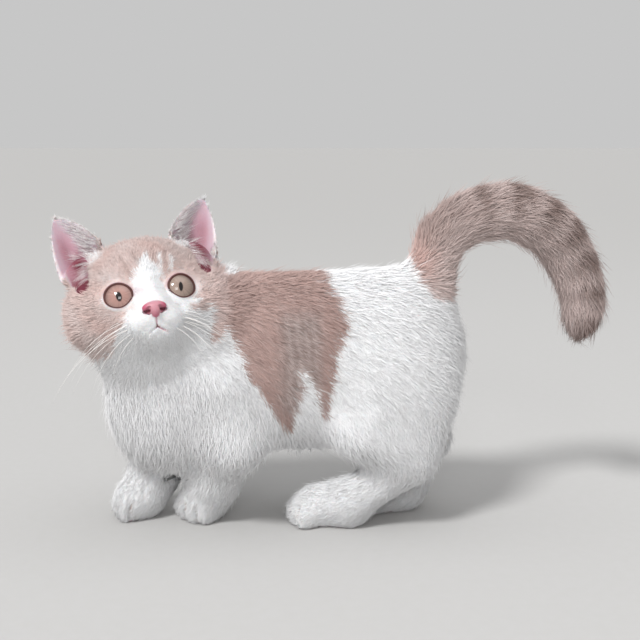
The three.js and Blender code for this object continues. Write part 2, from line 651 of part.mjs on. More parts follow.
let face = oneBody(headSkin.intersect(headZone()));
for (const side of ["left", "right"]) {
  face = face.add(eyeBall(side, eye.lid)).subtract(almond(side)).subtract(eyeBall(side, gap));
  face = face.subtract(earShell(side, ear.slot));
  solids[`ear_${side}`] = earShell(side);
  solids[`eye_${side}`] = eyeBall(side);
}
const noseBall = (grow = 0) => {
  const geometry = new THREE.SphereGeometry(1, 16, 11);
  const position = geometry.getAttribute("position");
  for (let n = 0; n < position.count; n++) {
    const [across, up] = [position.getX(n), position.getZ(n)];
    const taper = nose.foot + (1 - nose.foot) * THREE.MathUtils.smoothstep(up, -1, 0.3);
    position.setX(n, across * taper);
    position.setZ(n, up > 0 ? up * nose.brow : up);
  }
  return solidOf(inHeadFrame(placed(geometry, nose.at, [0, 0, 0], nose.size.map((v) => v + grow))));
};
const nostril = (sign) => {
  const { place, radius, size, slant } = nostrils;
  const spot = nose.at.map((v, axis) => v + [sign, -1, -1][axis] * nose.size[axis] * place[axis]);
  const pit = placed(new THREE.SphereGeometry(radius, 10, 8), spot, [0, sign * slant, 0], size);
  return solidOf(inHeadFrame(pit));
};
face = face.subtract(noseBall(gap));
const [cornerX, cornerZ] = mouth.corner;
const lips = [-1, -0.75, -0.5, -0.25, 0, 0.25, 0.5, 0.75, 1].map((share) => {
  const sag = mouth.droop * Math.sin(Math.abs(share) * Math.PI) ** 2;
  return [share * cornerX, THREE.MathUtils.lerp(mouth.split, cornerZ, share * share) - sag];
});
const philtrum = [[0, mouth.top], [0, (mouth.top + mouth.split) / 2], [0, mouth.split]];
face = face.subtract(groove(philtrum, mouth.line).add(groove(lips, mouth.line)));
solids.head = oneBody(face);
solids.nose = oneBody(noseBall().subtract(nostril(1)).subtract(nostril(-1)));

const kitten = new THREE.Group();
kitten.name = "munchkin_kitten";
for (const [name, solid] of Object.entries(solids)) {
  const look = looks.find(([pattern]) => pattern.test(name));
  const mesh = new THREE.Mesh(geometryOf(solid), new THREE.MeshStandardMaterial(look[1]));
  mesh.name = name;
  kitten.add(mesh);
}
const box = new THREE.Box3().setFromObject(kitten, true);
const centre = box.getCenter(new THREE.Vector3());
kitten.position.set(-centre.x, -centre.y, -box.min.z);
export default kitten;
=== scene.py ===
import math

import bmesh
import bpy
import numpy as np
from mathutils import Matrix, Vector


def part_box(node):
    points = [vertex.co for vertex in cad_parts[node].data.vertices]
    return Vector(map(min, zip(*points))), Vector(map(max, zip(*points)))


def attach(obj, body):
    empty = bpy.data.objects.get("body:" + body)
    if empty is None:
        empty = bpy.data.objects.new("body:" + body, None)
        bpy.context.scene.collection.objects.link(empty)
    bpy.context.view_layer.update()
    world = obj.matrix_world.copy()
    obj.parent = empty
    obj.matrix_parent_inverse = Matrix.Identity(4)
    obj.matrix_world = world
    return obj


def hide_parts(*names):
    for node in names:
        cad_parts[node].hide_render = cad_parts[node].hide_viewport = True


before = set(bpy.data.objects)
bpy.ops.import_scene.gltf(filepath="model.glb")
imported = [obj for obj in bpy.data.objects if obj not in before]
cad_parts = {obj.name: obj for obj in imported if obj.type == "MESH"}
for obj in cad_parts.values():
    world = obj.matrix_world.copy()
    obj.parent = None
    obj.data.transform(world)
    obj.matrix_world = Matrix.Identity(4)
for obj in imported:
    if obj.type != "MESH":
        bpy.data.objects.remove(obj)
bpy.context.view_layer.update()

# A munchkin kitten as a life-size museum model: one skin under a coat of fine tufts.
# The dictionaries give lengths in millimetres and angles in degrees.
# "Drawn" places are those of the solids before they were centred over their own box.
mm = 0.001
rng = np.random.default_rng(627)


def srgb(hexColour):
    parts = [int(hexColour[i:i + 2], 16) / 255 for i in (1, 3, 5)]
    linear = [c / 12.92 if c <= 0.04045 else ((c + 0.055) / 1.055) ** 2.4 for c in parts]
    return (*linear, 1.0)


def addNode(tree, kind, settings=None, links=None):
    node = tree.nodes.new(kind)
    for key, value in (settings or {}).items():
        if isinstance(key, str) and hasattr(node, key):
            setattr(node, key, value)
        else:
            node.inputs[key].default_value = value
    for key, source in (links or {}).items():
        tree.links.new(source, node.inputs[key])
    return node


def smoothstep(value, low, high):
    t = np.clip((value - low) / (high - low), 0, 1)
    return t * t * (3 - 2 * t)


def unit(vectors):
    return vectors / np.maximum(np.linalg.norm(vectors, axis=-1, keepdims=True), 1e-9)


def dotted(a, b):
    return np.einsum("ij,ij->i", a, b)


def gathered(items, key, width, kind=float):
    # One property of all these items, as rows of this many numbers.
    values = np.empty(len(items) * width, kind)
    items.foreach_get(key, values)
    return values.reshape(-1, width)


def meshPoints(mesh):
    return gathered(mesh.vertices, "co", 3)


def meshNormals(mesh):
    return gathered(mesh.vertices, "normal", 3)


def meshEdges(mesh):
    return gathered(mesh.edges, "vertices", 2, np.int64)


def builtMesh(bm, name):
    mesh = bpy.data.meshes.new(name)
    bm.to_mesh(mesh)
    bm.free()
    return mesh


def smoothFaces(mesh):
    mesh.polygons.foreach_set("use_smooth", np.ones(len(mesh.polygons), bool))


def movePoints(mesh, co):
    mesh.vertices.foreach_set("co", np.ascontiguousarray(co, np.float32).ravel())
    mesh.update()


def eased(values, edges, rounds, share=0.5):
    # Draws each value towards its neighbours' mean, as often as its own number of rounds.
    count = np.bincount(edges.ravel(), minlength=len(values)).clip(1)[:, None]
    both = np.concatenate([edges[:, 0], edges[:, 1]])
    other = np.concatenate([edges[:, 1], edges[:, 0]])
    for turn in range(int(np.max(rounds))):
        around = [np.bincount(both, column[other], len(values)) for column in values.T]
        moved = values + share * (np.stack(around, 1) / count - values)
        values = np.where((rounds > turn)[:, None], moved, values)
    return values


def toSegment(points, start, end):
    start, end = np.asarray(start, float), np.asarray(end, float)
    way = end - start
    t = np.clip((points - start) @ way / (way @ way), 0, 1)
    return np.linalg.norm(points - start - t[:, None] * way, axis=1), t


def toLine(points, line):
    return np.min([toSegment(points, a, b)[0] for a, b in zip(line, line[1:])], axis=0)


def ripple(points, size, seed=0):
    # Soft even noise between about -1 and 1, from a few crossed waves of this length.
    waves = np.random.default_rng(seed)
    total = np.zeros(len(points))
    for _ in range(7):
        way = waves.normal(size=3)
        way *= 2 * math.pi / (size * np.linalg.norm(way))
        total += np.sin(points @ way * waves.uniform(0.7, 1.5) + waves.uniform(0, 6.28))
    return total / 3.5


def addPiece(mesh, name, slot, *nodes):
    piece = bpy.data.objects.new(name, mesh)
    bpy.context.scene.collection.objects.link(piece)
    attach(piece, "root")
    if nodes:
        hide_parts(*nodes)
    return piece


# Places, as in the solids' source. The head's own frame looks along -Y, with its left at +X.
headPlace = {"at": (15, -66.5, 113.6), "yaw": 99.5, "pitch": 23, "roll": -8}
headShape = {"middle": (0, -3, 4), "half": (50, 47, 44), "noseTip": (0, -37, -11)}
eyePlace = {
    "at": (13.5, -21.3, 0), "radius": 9.2, "splay": 10, "rise": 2,
    "middle": {1: (1.4, 0.6), -1: (0.3, 0.6)}, "width": 14.1, "height": 12.0, "slant": 9,
}
earPlace = {
    "left": {"at": (29, 8, 27.5), "turn": (-6, 38, 20), "outward": 1},
    "right": {"at": (-26.5, 8, 27.5), "turn": (-6, -37, -16), "outward": -1},
}
earShape = {
    "height": 30, "width": 32, "fullness": 1.95, "tipRound": 0.66, "skew": 8, "sunk": 7,
    "within": 21, "middle": 3, "thick": 13,
}
tailLine = [
    (2, 71, 106), (2, 77, 125), (2, 79, 138), (2, 83, 148), (1, 93, 155), (0, 105, 159), (-1, 118, 160),
    (-3, 130, 156), (-5, 142, 148), (-7, 150, 137), (-8, 156, 125), (-9, 159, 113), (-10, 159, 102),
    (-10, 156, 91),
]
spine = [(3, -44, 104), (1, -10, 100), (2, 70, 106)]
legLines = {
    "foreleg_left": [(24, -32, 78), (25, -23, 48), (7, -35.5, 20), (2.5, -44, 8)],
    "foreleg_right": [(-20, -58, 76), (-20, -54, 46), (-7, -68.5, 20), (-1.5, -79, 8)],
    "hindleg_left": [(28, 38, 52), (23, 67, 37), (16, 34, 12), (13, 14, 8)],
    "hindleg_right": [(-26, 41, 52), (-16, 80, 38), (-10, 66, 13), (-8, 50, 8)],
}
pawPlaces = [
    {"at": (2.5, -40.5), "toesTurn": 48, "wide": 12.5},
    {"at": (-1.5, -75), "toesTurn": 46, "wide": 12.5},
    {"at": (13, 19), "toesTurn": 20, "wide": 12},
    {"at": (-8, 57), "toesTurn": 10, "wide": 12},
]


def spun(yaw, pitch, roll):
    turn = Matrix.Rotation(math.radians(yaw), 3, "Z") @ Matrix.Rotation(math.radians(pitch), 3, "X")
    return np.array(turn @ Matrix.Rotation(math.radians(roll), 3, "Y"))


headTurn = spun(headPlace["yaw"], -headPlace["pitch"], headPlace["roll"])
headAt = np.array(headPlace["at"], float)
boxLow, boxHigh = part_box("eye_left")
eyeMiddle = np.array((boxLow + boxHigh) / 2) / mm
shift = eyeMiddle - (headTurn @ np.array(eyePlace["at"], float) + headAt)
print("shift of the solids, mm:", shift.round(2))


def toDrawn(points):
    return points / mm - shift


def toHead(points):
    return (toDrawn(points) - headAt) @ headTurn


def fromHead(local):
    return (np.atleast_2d(local) @ headTurn.T + headAt + shift) * mm


def earTurn(side):
    pitch, roll, yaw = earPlace[side]["turn"]
    return spun(yaw, pitch, roll)


def earSpot(local, side):
    # Place on an ear: across it from -1 at the inner edge to 1 at the outer one, and up from 0 to 1.
    place = earPlace[side]
    e = (local - place["at"]) @ earTurn(side)
    up = np.clip((e[:, 2] + earShape["sunk"]) / (earShape["height"] + earShape["sunk"]), 0, 1)
    half = earShape["width"] / 2 * np.maximum(1 - up ** earShape["fullness"], 0.02) ** earShape["tipRound"]
    lean = -place["outward"] * earShape["skew"] * e[:, 2] / earShape["height"]
    across = place["outward"] * (e[:, 0] - lean) / half
    return across, e[:, 2] / earShape["height"], e


def nearEar(e, beyond=0):
    # Whether each place in an ear's frame is within the ear's width and thickness.
    across = np.abs(e[:, 0]) < earShape["within"] + beyond
    return across & (np.abs(e[:, 1] - earShape["middle"]) < earShape["thick"] + beyond)


def eyeFrame(sign):
    turn = spun(sign * eyePlace["splay"], -eyePlace["rise"], 0)
    return np.array([sign * eyePlace["at"][0], eyePlace["at"][1], eyePlace["at"][2]]), turn


def eyeMap(local, sign):
    # Places on the eyeball: mm across and up from the middle of the opening, the distance from
    # the eye's middle, and how far outside the opening's edge they are.
    at, turn = eyeFrame(sign)
    q = (local - at) @ turn
    reach = np.linalg.norm(q, axis=1)
    way = q / reach[:, None]
    across = eyePlace["radius"] * np.arctan2(way[:, 0] * sign, -way[:, 1]) - eyePlace["middle"][sign][0]
    up = eyePlace["radius"] * np.arcsin(np.clip(way[:, 2], -1, 1)) - eyePlace["middle"][sign][1]
    tilt = math.radians(eyePlace["slant"])
    u = across * math.cos(tilt) + up * math.sin(tilt)
    v = up * math.cos(tilt) - across * math.sin(tilt)
    halfWide, halfHigh = eyePlace["width"] / 2, eyePlace["height"] / 2
    # The inner corner is drawn out to a low point, and the outer one stays round.
    power = 2.0 - 0.35 * smoothstep(-u, 2.0, halfWide) * smoothstep(-v, -3.0, 1.0)
    size = (np.abs(u / halfWide) ** power + np.abs(v / halfHigh) ** power) ** (1 / power)
    return u, v, reach, (size - 1) * halfHigh


# Half the line of the mouth, and each nostril as a comma from its round hole out to its tail, in the
# head's width and height.
mouth = {
    "line": [(0, -15.2), (0, -18.6), (2.2, -20.0), (4.6, -21.4), (6.4, -22.2)], "split": (0, -18.6),
    "lip": 0.14, "depth": 0.5,
}
nostrils = {"hole": (2.9, -11.7), "tail": (5.1, -11.3), "radii": (0.85, 0.35), "dent": 1.1, "under": 2.2}


def folded(local):
    # Both halves of the head as one: how far from its middle plane, and how high.
    return np.stack([np.abs(local[:, 0]), local[:, 2]], 1)


def nostrilAway(local):
    # Distance from the nearer nostril's comma, in its own half widths.
    away, t = toSegment(folded(local), nostrils["hole"], nostrils["tail"])
    return np.where(local[:, 1] < -30, away / np.interp(t, (0, 1), nostrils["radii"]), 99)


def belowNose(local):
    # Share of the furred part under each wing of the nose, beside its narrow foot.
    foot = np.interp(local[:, 2], (-16, -12.6), (0.9, 1.9))
    return smoothstep(np.abs(local[:, 0]), foot, foot + 0.7) * (1 - smoothstep(local[:, 2], -13.1, -12.5))


def mouthAway(local):
    return np.where(local[:, 1] < -16, toLine(folded(local), mouth["line"]), 99)


def regions(points, normals):
    # Shares of each part of the body at these places, from 0 to 1.
    p = toDrawn(points)
    h = toHead(points)
    found = {}
    headSize = np.linalg.norm((h - headShape["middle"]) / headShape["half"], axis=1)
    found["head"] = 1 - smoothstep(headSize, 0.88, 1.12)
    found["face"] = found["head"] * smoothstep(-h[:, 1], -4, 14)
    found["tail"] = 1 - smoothstep(toLine(p, tailLine[2:]), 17, 22)
    lows = np.min([toLine(p, line[1:]) for line in legLines.values()], axis=0)
    found["lowerLeg"] = (1 - smoothstep(lows, 19, 25)) * (1 - smoothstep(p[:, 2], 40, 56))
    found["paw"] = found["lowerLeg"] * (1 - smoothstep(p[:, 2], 15, 27))
    found["ear"] = np.zeros(len(p))
    found["earInner"] = np.zeros(len(p))
    for side in earPlace:
        e = earSpot(h, side)[2]
        near = smoothstep(e[:, 2], 0, 5) * nearEar(e)
        facing = normals @ headTurn @ earTurn(side)
        found["ear"] = np.maximum(found["ear"], near)
        found["earInner"] = np.maximum(found["earInner"], near * smoothstep(-facing[:, 1], 0.0, 0.35))
        found["ear_" + side] = near
    found["head"] = np.maximum(found["head"], found["ear"])
    rest = (1 - found["head"]) * (1 - found["lowerLeg"])
    found["belly"] = (1 - smoothstep(p[:, 2], 38, 60)) * (1 - found["tail"]) * rest
    found["chest"] = smoothstep(-p[:, 1], 20, 60) * rest
    cheekHigh = (1 - smoothstep(h[:, 2], -4, 12)) * smoothstep(h[:, 2], -34, -22)
    cheek = smoothstep(np.abs(h[:, 0]), 18, 29) * cheekHigh
    found["cheek"] = found["head"] * (1 - found["ear"]) * cheek
    return found


def blended(sizes, area):
    # One size at each place, from sizes by part: later parts cover earlier ones.
    value = np.full(len(area["head"]), float(sizes["body"]))
    for part, size in sizes.items():
        if part != "body":
            value = value + (size - value) * area[part]
    return value


# The skin: all the solids joined, eased over their seams, drawn in by the coat's depth.
skinShape = {"voxel": 0.85, "swell": 0.25, "thinTo": 0.36}
# Rounds of easing for each part.
skinRounds = {"body": 40, "tail": 16, "paw": 4, "face": 8, "ear": 2}
coatDepth = {
    "body": 2.9, "chest": 3.4, "belly": 2.8, "tail": 3.0, "lowerLeg": 1.7, "paw": 0.9, "head": 2.2,
    "face": 1.0, "cheek": 2.6, "ear": 0.15,
}
# Where the head is drawn in further or less: the place and its reach in the head's frame, and how much.
headTrims = [
    ((38, -2, -20), (16, 22, 9), 2.8), ((-38, -2, -24), (16, 22, 8), 2.2), ((0, 2, 40), (16, 20, 14), 1.5),
    ((46, -12, 10), (10, 16, 14), 4.5), ((43, -2, 18), (8, 14, 9), 8.0), ((-44, -8, 6), (9, 12, 9), -1.2),
]
# The hollow at the foot of each ear, in the head's width and height, from its lowest point up into the
# ear, with the depth of its floor at both ends, and the pocket fold beside it.
earHollow = {
    "low": (29.8, 10.5), "high": (30.2, 27), "radii": (4.4, 7.2), "floor": (-12, 5),
    "pocket": ((38.5, 9, 26), (36.2, 2, 18)), "fold": 1.0,
}


def joinedNodes(names, name, swell):
    bm = bmesh.new()
    for n in names:
        bm.from_mesh(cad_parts[n].data)
    bmesh.ops.remove_doubles(bm, verts=bm.verts, dist=1e-6)
    bm.normal_update()
    for v in bm.verts:
        v.co += v.normal * swell * mm
    return builtMesh(bm, name)


def modified(mesh, kind, settings, weights=()):
    # The mesh after one modifier. Weights, if any, are (members, weight) of the group it works on.
    temp = bpy.data.objects.new("work", mesh)
    bpy.context.scene.collection.objects.link(temp)
    modifier = temp.modifiers.new("work", kind)
    for key, value in settings.items():
        setattr(modifier, key, value)
    if weights:
        group = temp.vertex_groups.new(name="thin")
        for members, weight in weights:
            group.add([int(i) for i in members], weight, "REPLACE")
        modifier.vertex_group = group.name
    done = bpy.data.meshes.new_from_object(temp.evaluated_get(bpy.context.evaluated_depsgraph_get()))
    bpy.data.objects.remove(temp)
    return done


def remeshed(mesh, voxel, name):
    done = modified(mesh, "REMESH", {"mode": "VOXEL", "voxel_size": voxel * mm})
    done.name = name
    return done


def thinnedSkin(mesh, area):
    # Away from the face, ears and paws the skin is thinned, because the coat hides it.
    keep = np.maximum(np.maximum(area["face"], area["ear"]), 0.6 * area["paw"])
    weights = [(np.flatnonzero(keep <= 0.3), 1.0), (np.flatnonzero((keep > 0.3) & (keep <= 0.7)), 0.6)]
    return modified(mesh, "DECIMATE", {"ratio": skinShape["thinTo"]}, weights)


def refineFace(mesh):
    # Finer faces about the eyes, nose and mouth.
    bm = bmesh.new()
    bm.from_mesh(mesh)
    for eyeReach, whole in ((3.4, True), (1.5, False)):
        h = toHead(np.array([v.co for v in bm.verts]))
        front = np.abs(h[:, 1] + 24) < 14
        away = np.min([np.where(front, np.abs(eyeMap(h, s)[3]), 99) for s in (1, -1)], axis=0)
        muzzle = (np.abs(h[:, 0]) < 10) & (h[:, 1] < -24) & (h[:, 2] < -4) & (h[:, 2] > -25)
        fine = (away < eyeReach) | (muzzle if whole else mouthAway(h) < 1.5)
        bm.verts.index_update()
        edges = [e for e in bm.edges if fine[e.verts[0].index] and fine[e.verts[1].index]]
        bmesh.ops.subdivide_edges(bm, edges=edges, cuts=1, use_grid_fill=True)
        bmesh.ops.triangulate(bm, faces=[f for f in bm.faces if len(f.verts) > 4])
    bm.to_mesh(mesh)
    bm.free()


def hollowShare(h):
    # How far into the hollow at the foot of an ear each place is, from 0 to 1.
    away, t = toSegment(folded(h), earHollow["low"], earHollow["high"])
    radius = np.interp(t, (0, 1), earHollow["radii"])
    return (1 - smoothstep(away, 0.5 * radius, radius)) * smoothstep(20 - h[:, 1], 0, 8)


def pocketShare(h):
    # How near each place is to the fold of the pocket at the ear's outer edge, from 0 to 1.
    side = np.stack([np.abs(h[:, 0]), h[:, 1], h[:, 2]], 1)
    return np.exp(-(toSegment(side, *earHollow["pocket"])[0] / 0.8) ** 2)


def shapeHollows(h, ear):
    t = toSegment(folded(h), earHollow["low"], earHollow["high"])[1]
    deeper = np.maximum(np.interp(t, (0, 1), earHollow["floor"]) - h[:, 1], 0)
    h[:, 1] += deeper * hollowShare(h) * (1 - ear) + earHollow["fold"] * pocketShare(h)
    return h


lid = {"proud": 0.5, "tuck": 0.9, "edge": 0.7, "blend": 3.4, "cornerBlend": 5.0, "fold": 0.45, "foldAt": 2.6}


def shapeLids(h):
    # Inside the opening the skin lies under the eyeball. Its edge stands just proud of the ball.
    radius = eyePlace["radius"]
    for sign in (1, -1):
        at, turn = eyeFrame(sign)
        u, v, reach, away = eyeMap(h, sign)
        near = (h[:, 1] < -12) & (away < 9) & (reach < radius + 9)
        near = near * smoothstep(h[:, 0] * sign, 1.5, 4.5)
        inside = radius - lid["tuck"]
        edge = radius + lid["proud"] * (1 + 0.4 * smoothstep(v, -2, 5))
        wanted = inside + (edge - inside) * smoothstep(away, -0.8, 0.05)
        inner = smoothstep(-u, 2, 6)
        blend = lid["blend"] + (lid["cornerBlend"] - lid["blend"]) * inner
        far = smoothstep((away - lid["edge"]) / blend, 0, 1)
        wanted = wanted + (reach - wanted) * far
        wanted = wanted - lid["fold"] * np.exp(-((away - lid["foldAt"]) / 0.6) ** 2) * smoothstep(v, -1, 4)
        moved = reach + (wanted - reach) * near
        h = at + (h - at) / reach[:, None] * moved[:, None]
    return h


def shapeMouth(h):
    away = mouthAway(h)
    depth = mouth["depth"] * (1 - smoothstep(np.abs(h[:, 0]), 1.5, 5.5))
    lips = mouth["lip"] * np.exp(-((away - 1.2) / 0.7) ** 2) - depth * np.exp(-(away / 0.5) ** 2)
    h[:, 1] -= lips
    return h


toes = {"crease": 1.6, "width": 0.75, "reach": 15, "shade": 0.5, "places": (-0.5, 0, 0.5)}


def toeCreases(p):
    # How near each place is to a crease between two toes, from 0 to 1.
    near = np.zeros(len(p))
    for paw in pawPlaces:
        local = (p[:, :2] - paw["at"]) @ spun(paw["toesTurn"], 0, 0)[:2, :2]
        front = smoothstep(-local[:, 1], 2, 8) * (np.abs(local[:, 0]) < paw["wide"])
        low = (1 - smoothstep(p[:, 2], 9, 13)) * (np.hypot(*local.T) < toes["reach"] + 14)
        spread = 1 - 0.1 * local[:, 1] / toes["reach"]
        for place in toes["places"]:
            off = local[:, 0] - place * paw["wide"] * spread
            near = np.maximum(near, front * low * np.exp(-(off / toes["width"]) ** 2))
    return near


def makeSkin():
    source = joinedNodes(sorted(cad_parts), "skin_source", skinShape["swell"])
    mesh = remeshed(source, skinShape["voxel"], "skin")
    co = meshPoints(mesh)
    area = regions(co, meshNormals(mesh))
    movePoints(mesh, eased(co, meshEdges(mesh), blended(skinRounds, area)))
    mesh = thinnedSkin(mesh, area)
    refineFace(mesh)
    print("skin remeshed:", len(mesh.vertices), "vertices")

    co = meshPoints(mesh)
    edges = meshEdges(mesh)
    h = toHead(co)
    area = regions(co, meshNormals(mesh))
    fine = (np.abs(h[:, 0]) < 27) & (h[:, 1] < -14) & (area["head"] > 0.5)
    aboutMouth = (mouthAway(h) < 3.5) & (h[:, 2] < -16)
    movePoints(mesh, eased(co, edges, np.where(aboutMouth, 14.0, np.where(fine, 3.0, 0.0))))
    co = meshPoints(mesh)
    normals = meshNormals(mesh)
    h = toHead(co)
    depth = blended(coatDepth, area)
    for sign in (1, -1):
        away = eyeMap(h, sign)[3]
        front = (h[:, 1] < -12) & (h[:, 0] * sign > -1)
        depth = np.where(front, depth * (0.15 + 0.85 * smoothstep(away, 0, 7)), depth)
    noseAway = np.linalg.norm((h - headShape["noseTip"]) / (1.3, 1, 1), axis=1)
    depth *= 0.35 + 0.65 * smoothstep(noseAway, 4, 11)
    for place, reach, deep in headTrims:
        depth += deep * np.exp(-np.sum(((h - place) / reach) ** 2, axis=1))
    depth *= smoothstep(toDrawn(co)[:, 2], -2, 7)
    depth += toes["crease"] * toeCreases(toDrawn(co))
    depth = eased(depth[:, None], edges, np.where(area["paw"] > 0.3, 1.0, 4.0))[:, 0]
    co = co - normals * (depth + skinShape["swell"])[:, None] * mm
    still = area["face"] + area["ear"] + area["paw"] > 0.3
    co = eased(co, edges, np.where(still, 0.0, 5.0))
    h = shapeHollows(shapeMouth(shapeLids(toHead(co))), area["ear"])
    h[:, 1] += nostrils["under"] * (1 - smoothstep(nostrilAway(h), 1.2, 2.2))
    co = fromHead(h)
    movePoints(mesh, eased(co, edges, np.where(fine, 1.0, 0.0), 0.35))
    smoothFaces(mesh)

    fleshNodes = sorted(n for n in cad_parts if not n.startswith(("eye_", "nose")))
    piece = addPiece(mesh, "skin", "white_fur", *fleshNodes)
    bpy.context.view_layer.objects.active = piece
    piece.select_set(True)
    mesh.uv_layers.new(name="OFBake")
    bpy.ops.object.mode_set(mode="EDIT")
    bpy.ops.mesh.select_all(action="SELECT")
    bpy.ops.uv.smart_project(angle_limit=1.15, island_margin=0.002, scale_to_bounds=True)
    bpy.ops.object.mode_set(mode="OBJECT")
    piece.select_set(False)
    mesh.calc_loop_triangles()
    print("skin shaped and unwrapped:", len(mesh.loop_triangles), "triangles")
    return mesh


skinMesh = makeSkin()

# Markings: a lilac saddle, tail, cap, ears and cheeks on white.
# Each saddle edge is a row of (height, place along the back) from the bottom up.
saddle = {
    "left": {
        "front": [
            (52, 3), (58, -2), (61, -4), (78, -13), (98, -20), (112, -29), (124, -33), (130, -22), (137, -14),
        ],
        "rear": [(52, 16), (67, 20), (80, 24.8), (97, 31), (108, 35.6), (116, 32), (124, 27), (140, 15)],
        "tongue": [(50, 2, 21), (57, 2, 20), (67, 5, 17), (76, 7, 15.5), (83, 10, 13), (86, 11.5, 11.5)],
        "bottom": 57,
    },
    "right": {
        "front": [(60, -4), (70, -12), (84, -20), (100, -27), (116, -30), (126, -24), (136, -8)],
        "rear": [(60, 8), (72, 17), (86, 24), (100, 28), (114, 26), (140, 15)],
        "tongue": [(58, 0, 0), (60, 0, 0)],
        "bottom": 66,
    },
}
# How far ahead of where the colour shows the roots are marked, because the tufts lie backwards.
saddleAhead = {"high": 3.5, "low": -1.5}
# White of the face: its two edges at each height, to the kitten's right and left.
faceWhite = [
    (-34, -22, 24), (-28, -21, 23), (-21, -18.5, 24), (-17, -18, 26), (-11, -13.5, 27), (-7, -10.5, 24),
    (-4, -8.6, 14), (0, -8, 7.5), (4, -7.6, 6.6), (9, -6, 7.2), (12, -3.4, 4.6), (15, -1.2, 2.6),
    (18, 0.6, 0.8),
]
# Light and dark streaks of the brow: both ends in the head's width and height, and half the width.
faceStreaks = [((1.7, 10), (1.2, 18), 1.5), ((6.6, 9), (7.8, 17), 1.3), ((11.4, 9), (12.6, 15.5), 1.3)]
faceDarks = [
    ((-7.2, 9.5), (-9.8, 18), 0.8), ((-3.2, 13), (-4.6, 20), 0.7), ((9.3, 11), (10.2, 19), 0.7),
    ((4.6, 14), (5, 21), 0.7),
]
faceSpot = {"at": (21.5, -10.0), "half": (4.6, 2.8)}
# The lower edge of the cap, from the face back.
capEdge = {"back": [-30, -10, 6, 20, 34], "low": [-25, -22, -20, -15, -8]}
tailBands = {"spacing": 15.5, "first": 62, "soft": 0.35}


def saddleShare(points, ragged):
    x, y, z = points.T
    share = np.zeros(len(points))
    for side, row in saddle.items():
        front = np.interp(z, *np.array(row["front"], float).T)
        rear = np.interp(z, *np.array(row["rear"], float).T)
        within = np.minimum(y - front, rear - y)
        tongueAt = np.array(row["tongue"], float).T
        tongueLow, tongueHigh = np.interp(z, tongueAt[0], tongueAt[1]), np.interp(z, tongueAt[0], tongueAt[2])
        gap = np.maximum(tongueLow - y, y - tongueHigh)
        gap = np.where(z < tongueAt[0][-1], gap, 9)
        within = np.minimum(np.minimum(within, gap), z - row["bottom"]) + ragged
        own = smoothstep(within, -1.6, 2.2)
        share = np.where((x >= 0) == (side == "left"), own, share)
    return share


def tailPlace(points):
    # How far along the tail each point is, how far from its middle line, how far round to its top, the
    # way out from that line, and the tail's whole length.
    marks = np.array(tailLine, float)
    steps = np.concatenate([[0], np.cumsum(np.linalg.norm(np.diff(marks, axis=0), axis=1))])
    along = np.zeros(len(points))
    best = np.full(len(points), 1e9)
    for i in range(len(marks) - 1):
        away, t = toSegment(points, marks[i], marks[i + 1])
        along = np.where(away < best, steps[i] + t * (steps[i + 1] - steps[i]), along)
        best = np.minimum(away, best)
    at = [
        np.stack([np.interp(along + ahead, steps, column) for column in marks.T], 1) for ahead in (-3, 0, 3)
    ]
    outer = unit(points - at[1])
    sky = np.cross(unit(at[2] - at[0]), (-1.0, 0, 0))
    return along, best, dotted(outer, sky), outer, steps[-1]


# Each of these gives where it holds, the lilac share, how dark the lilac is, and how rosy.
def trunkMarks(points, ragged):
    x, y, z = points.T
    ahead = saddleAhead["low"] + (saddleAhead["high"] - saddleAhead["low"]) * smoothstep(z, 66, 96)
    ahead = np.stack([np.zeros(len(x)), ahead, np.zeros(len(x))], 1)
    stripes = np.sin(y * 1.35 + 0.10 * z + 1.5 * ripple(points, 24, 5))
    greyHigh = smoothstep(z, 60, 72) * (1 - smoothstep(z, 108, 118))
    grey = smoothstep(y, -6, 2) * (1 - smoothstep(y, 14, 20)) * greyHigh
    # Painted light and shade: the saddle's lilac is paler towards its front and darker towards its rear.
    lengthwise = 0.06 * smoothstep(y, 15, 25) - 0.12 * smoothstep(-y, 5, 20)
    dark = 0.52 + lengthwise + 0.08 * ripple(points, 6, 6) + (0.10 + 0.18 * stripes) * grey
    trunk = (y > -50) & (y < 58) & (z > 30)
    return trunk, saddleShare(points + ahead, ragged), dark, 0.75 - 0.65 * grey


def tailMarks(points, ragged):
    along, away, dorsal, outer, whole = tailPlace(points)
    onTail = (away < 22) & (along > 14) | (along > 40) & (away < 30)
    rootEdge = np.maximum(137 - 1.6 * (points[:, 1] - 62), 116.5)
    start = np.where(along < 45, smoothstep(points[:, 2] - rootEdge + ragged, -2.5, 3.5), 1)
    turns = (along - tailBands["first"]) / tailBands["spacing"] + 0.10 * ripple(points, 16, 7) - 0.16 * dorsal
    bands = smoothstep(np.cos(turns * 2 * math.pi), -tailBands["soft"], 0.75)
    base = np.exp(-((along - 27) / 13) ** 2) * smoothstep(-outer[:, 1], -0.1, 0.8)
    end = smoothstep(along, whole - 17, whole - 9)
    banded = smoothstep(along, 48, 66) * (1 - end)
    upper = smoothstep(dorsal, -0.8, 0.6)
    dark = 0.13 + 0.46 * bands * (0.35 + 0.65 * upper) * banded + 0.36 * end - 0.1 * base
    dark += (0.26 + 0.22 * (1 - banded)) * upper * smoothstep(along, 24, 46)
    return onTail, start, dark + 0.06 * ripple(points, 5, 8), 0.2 + 0.7 * base


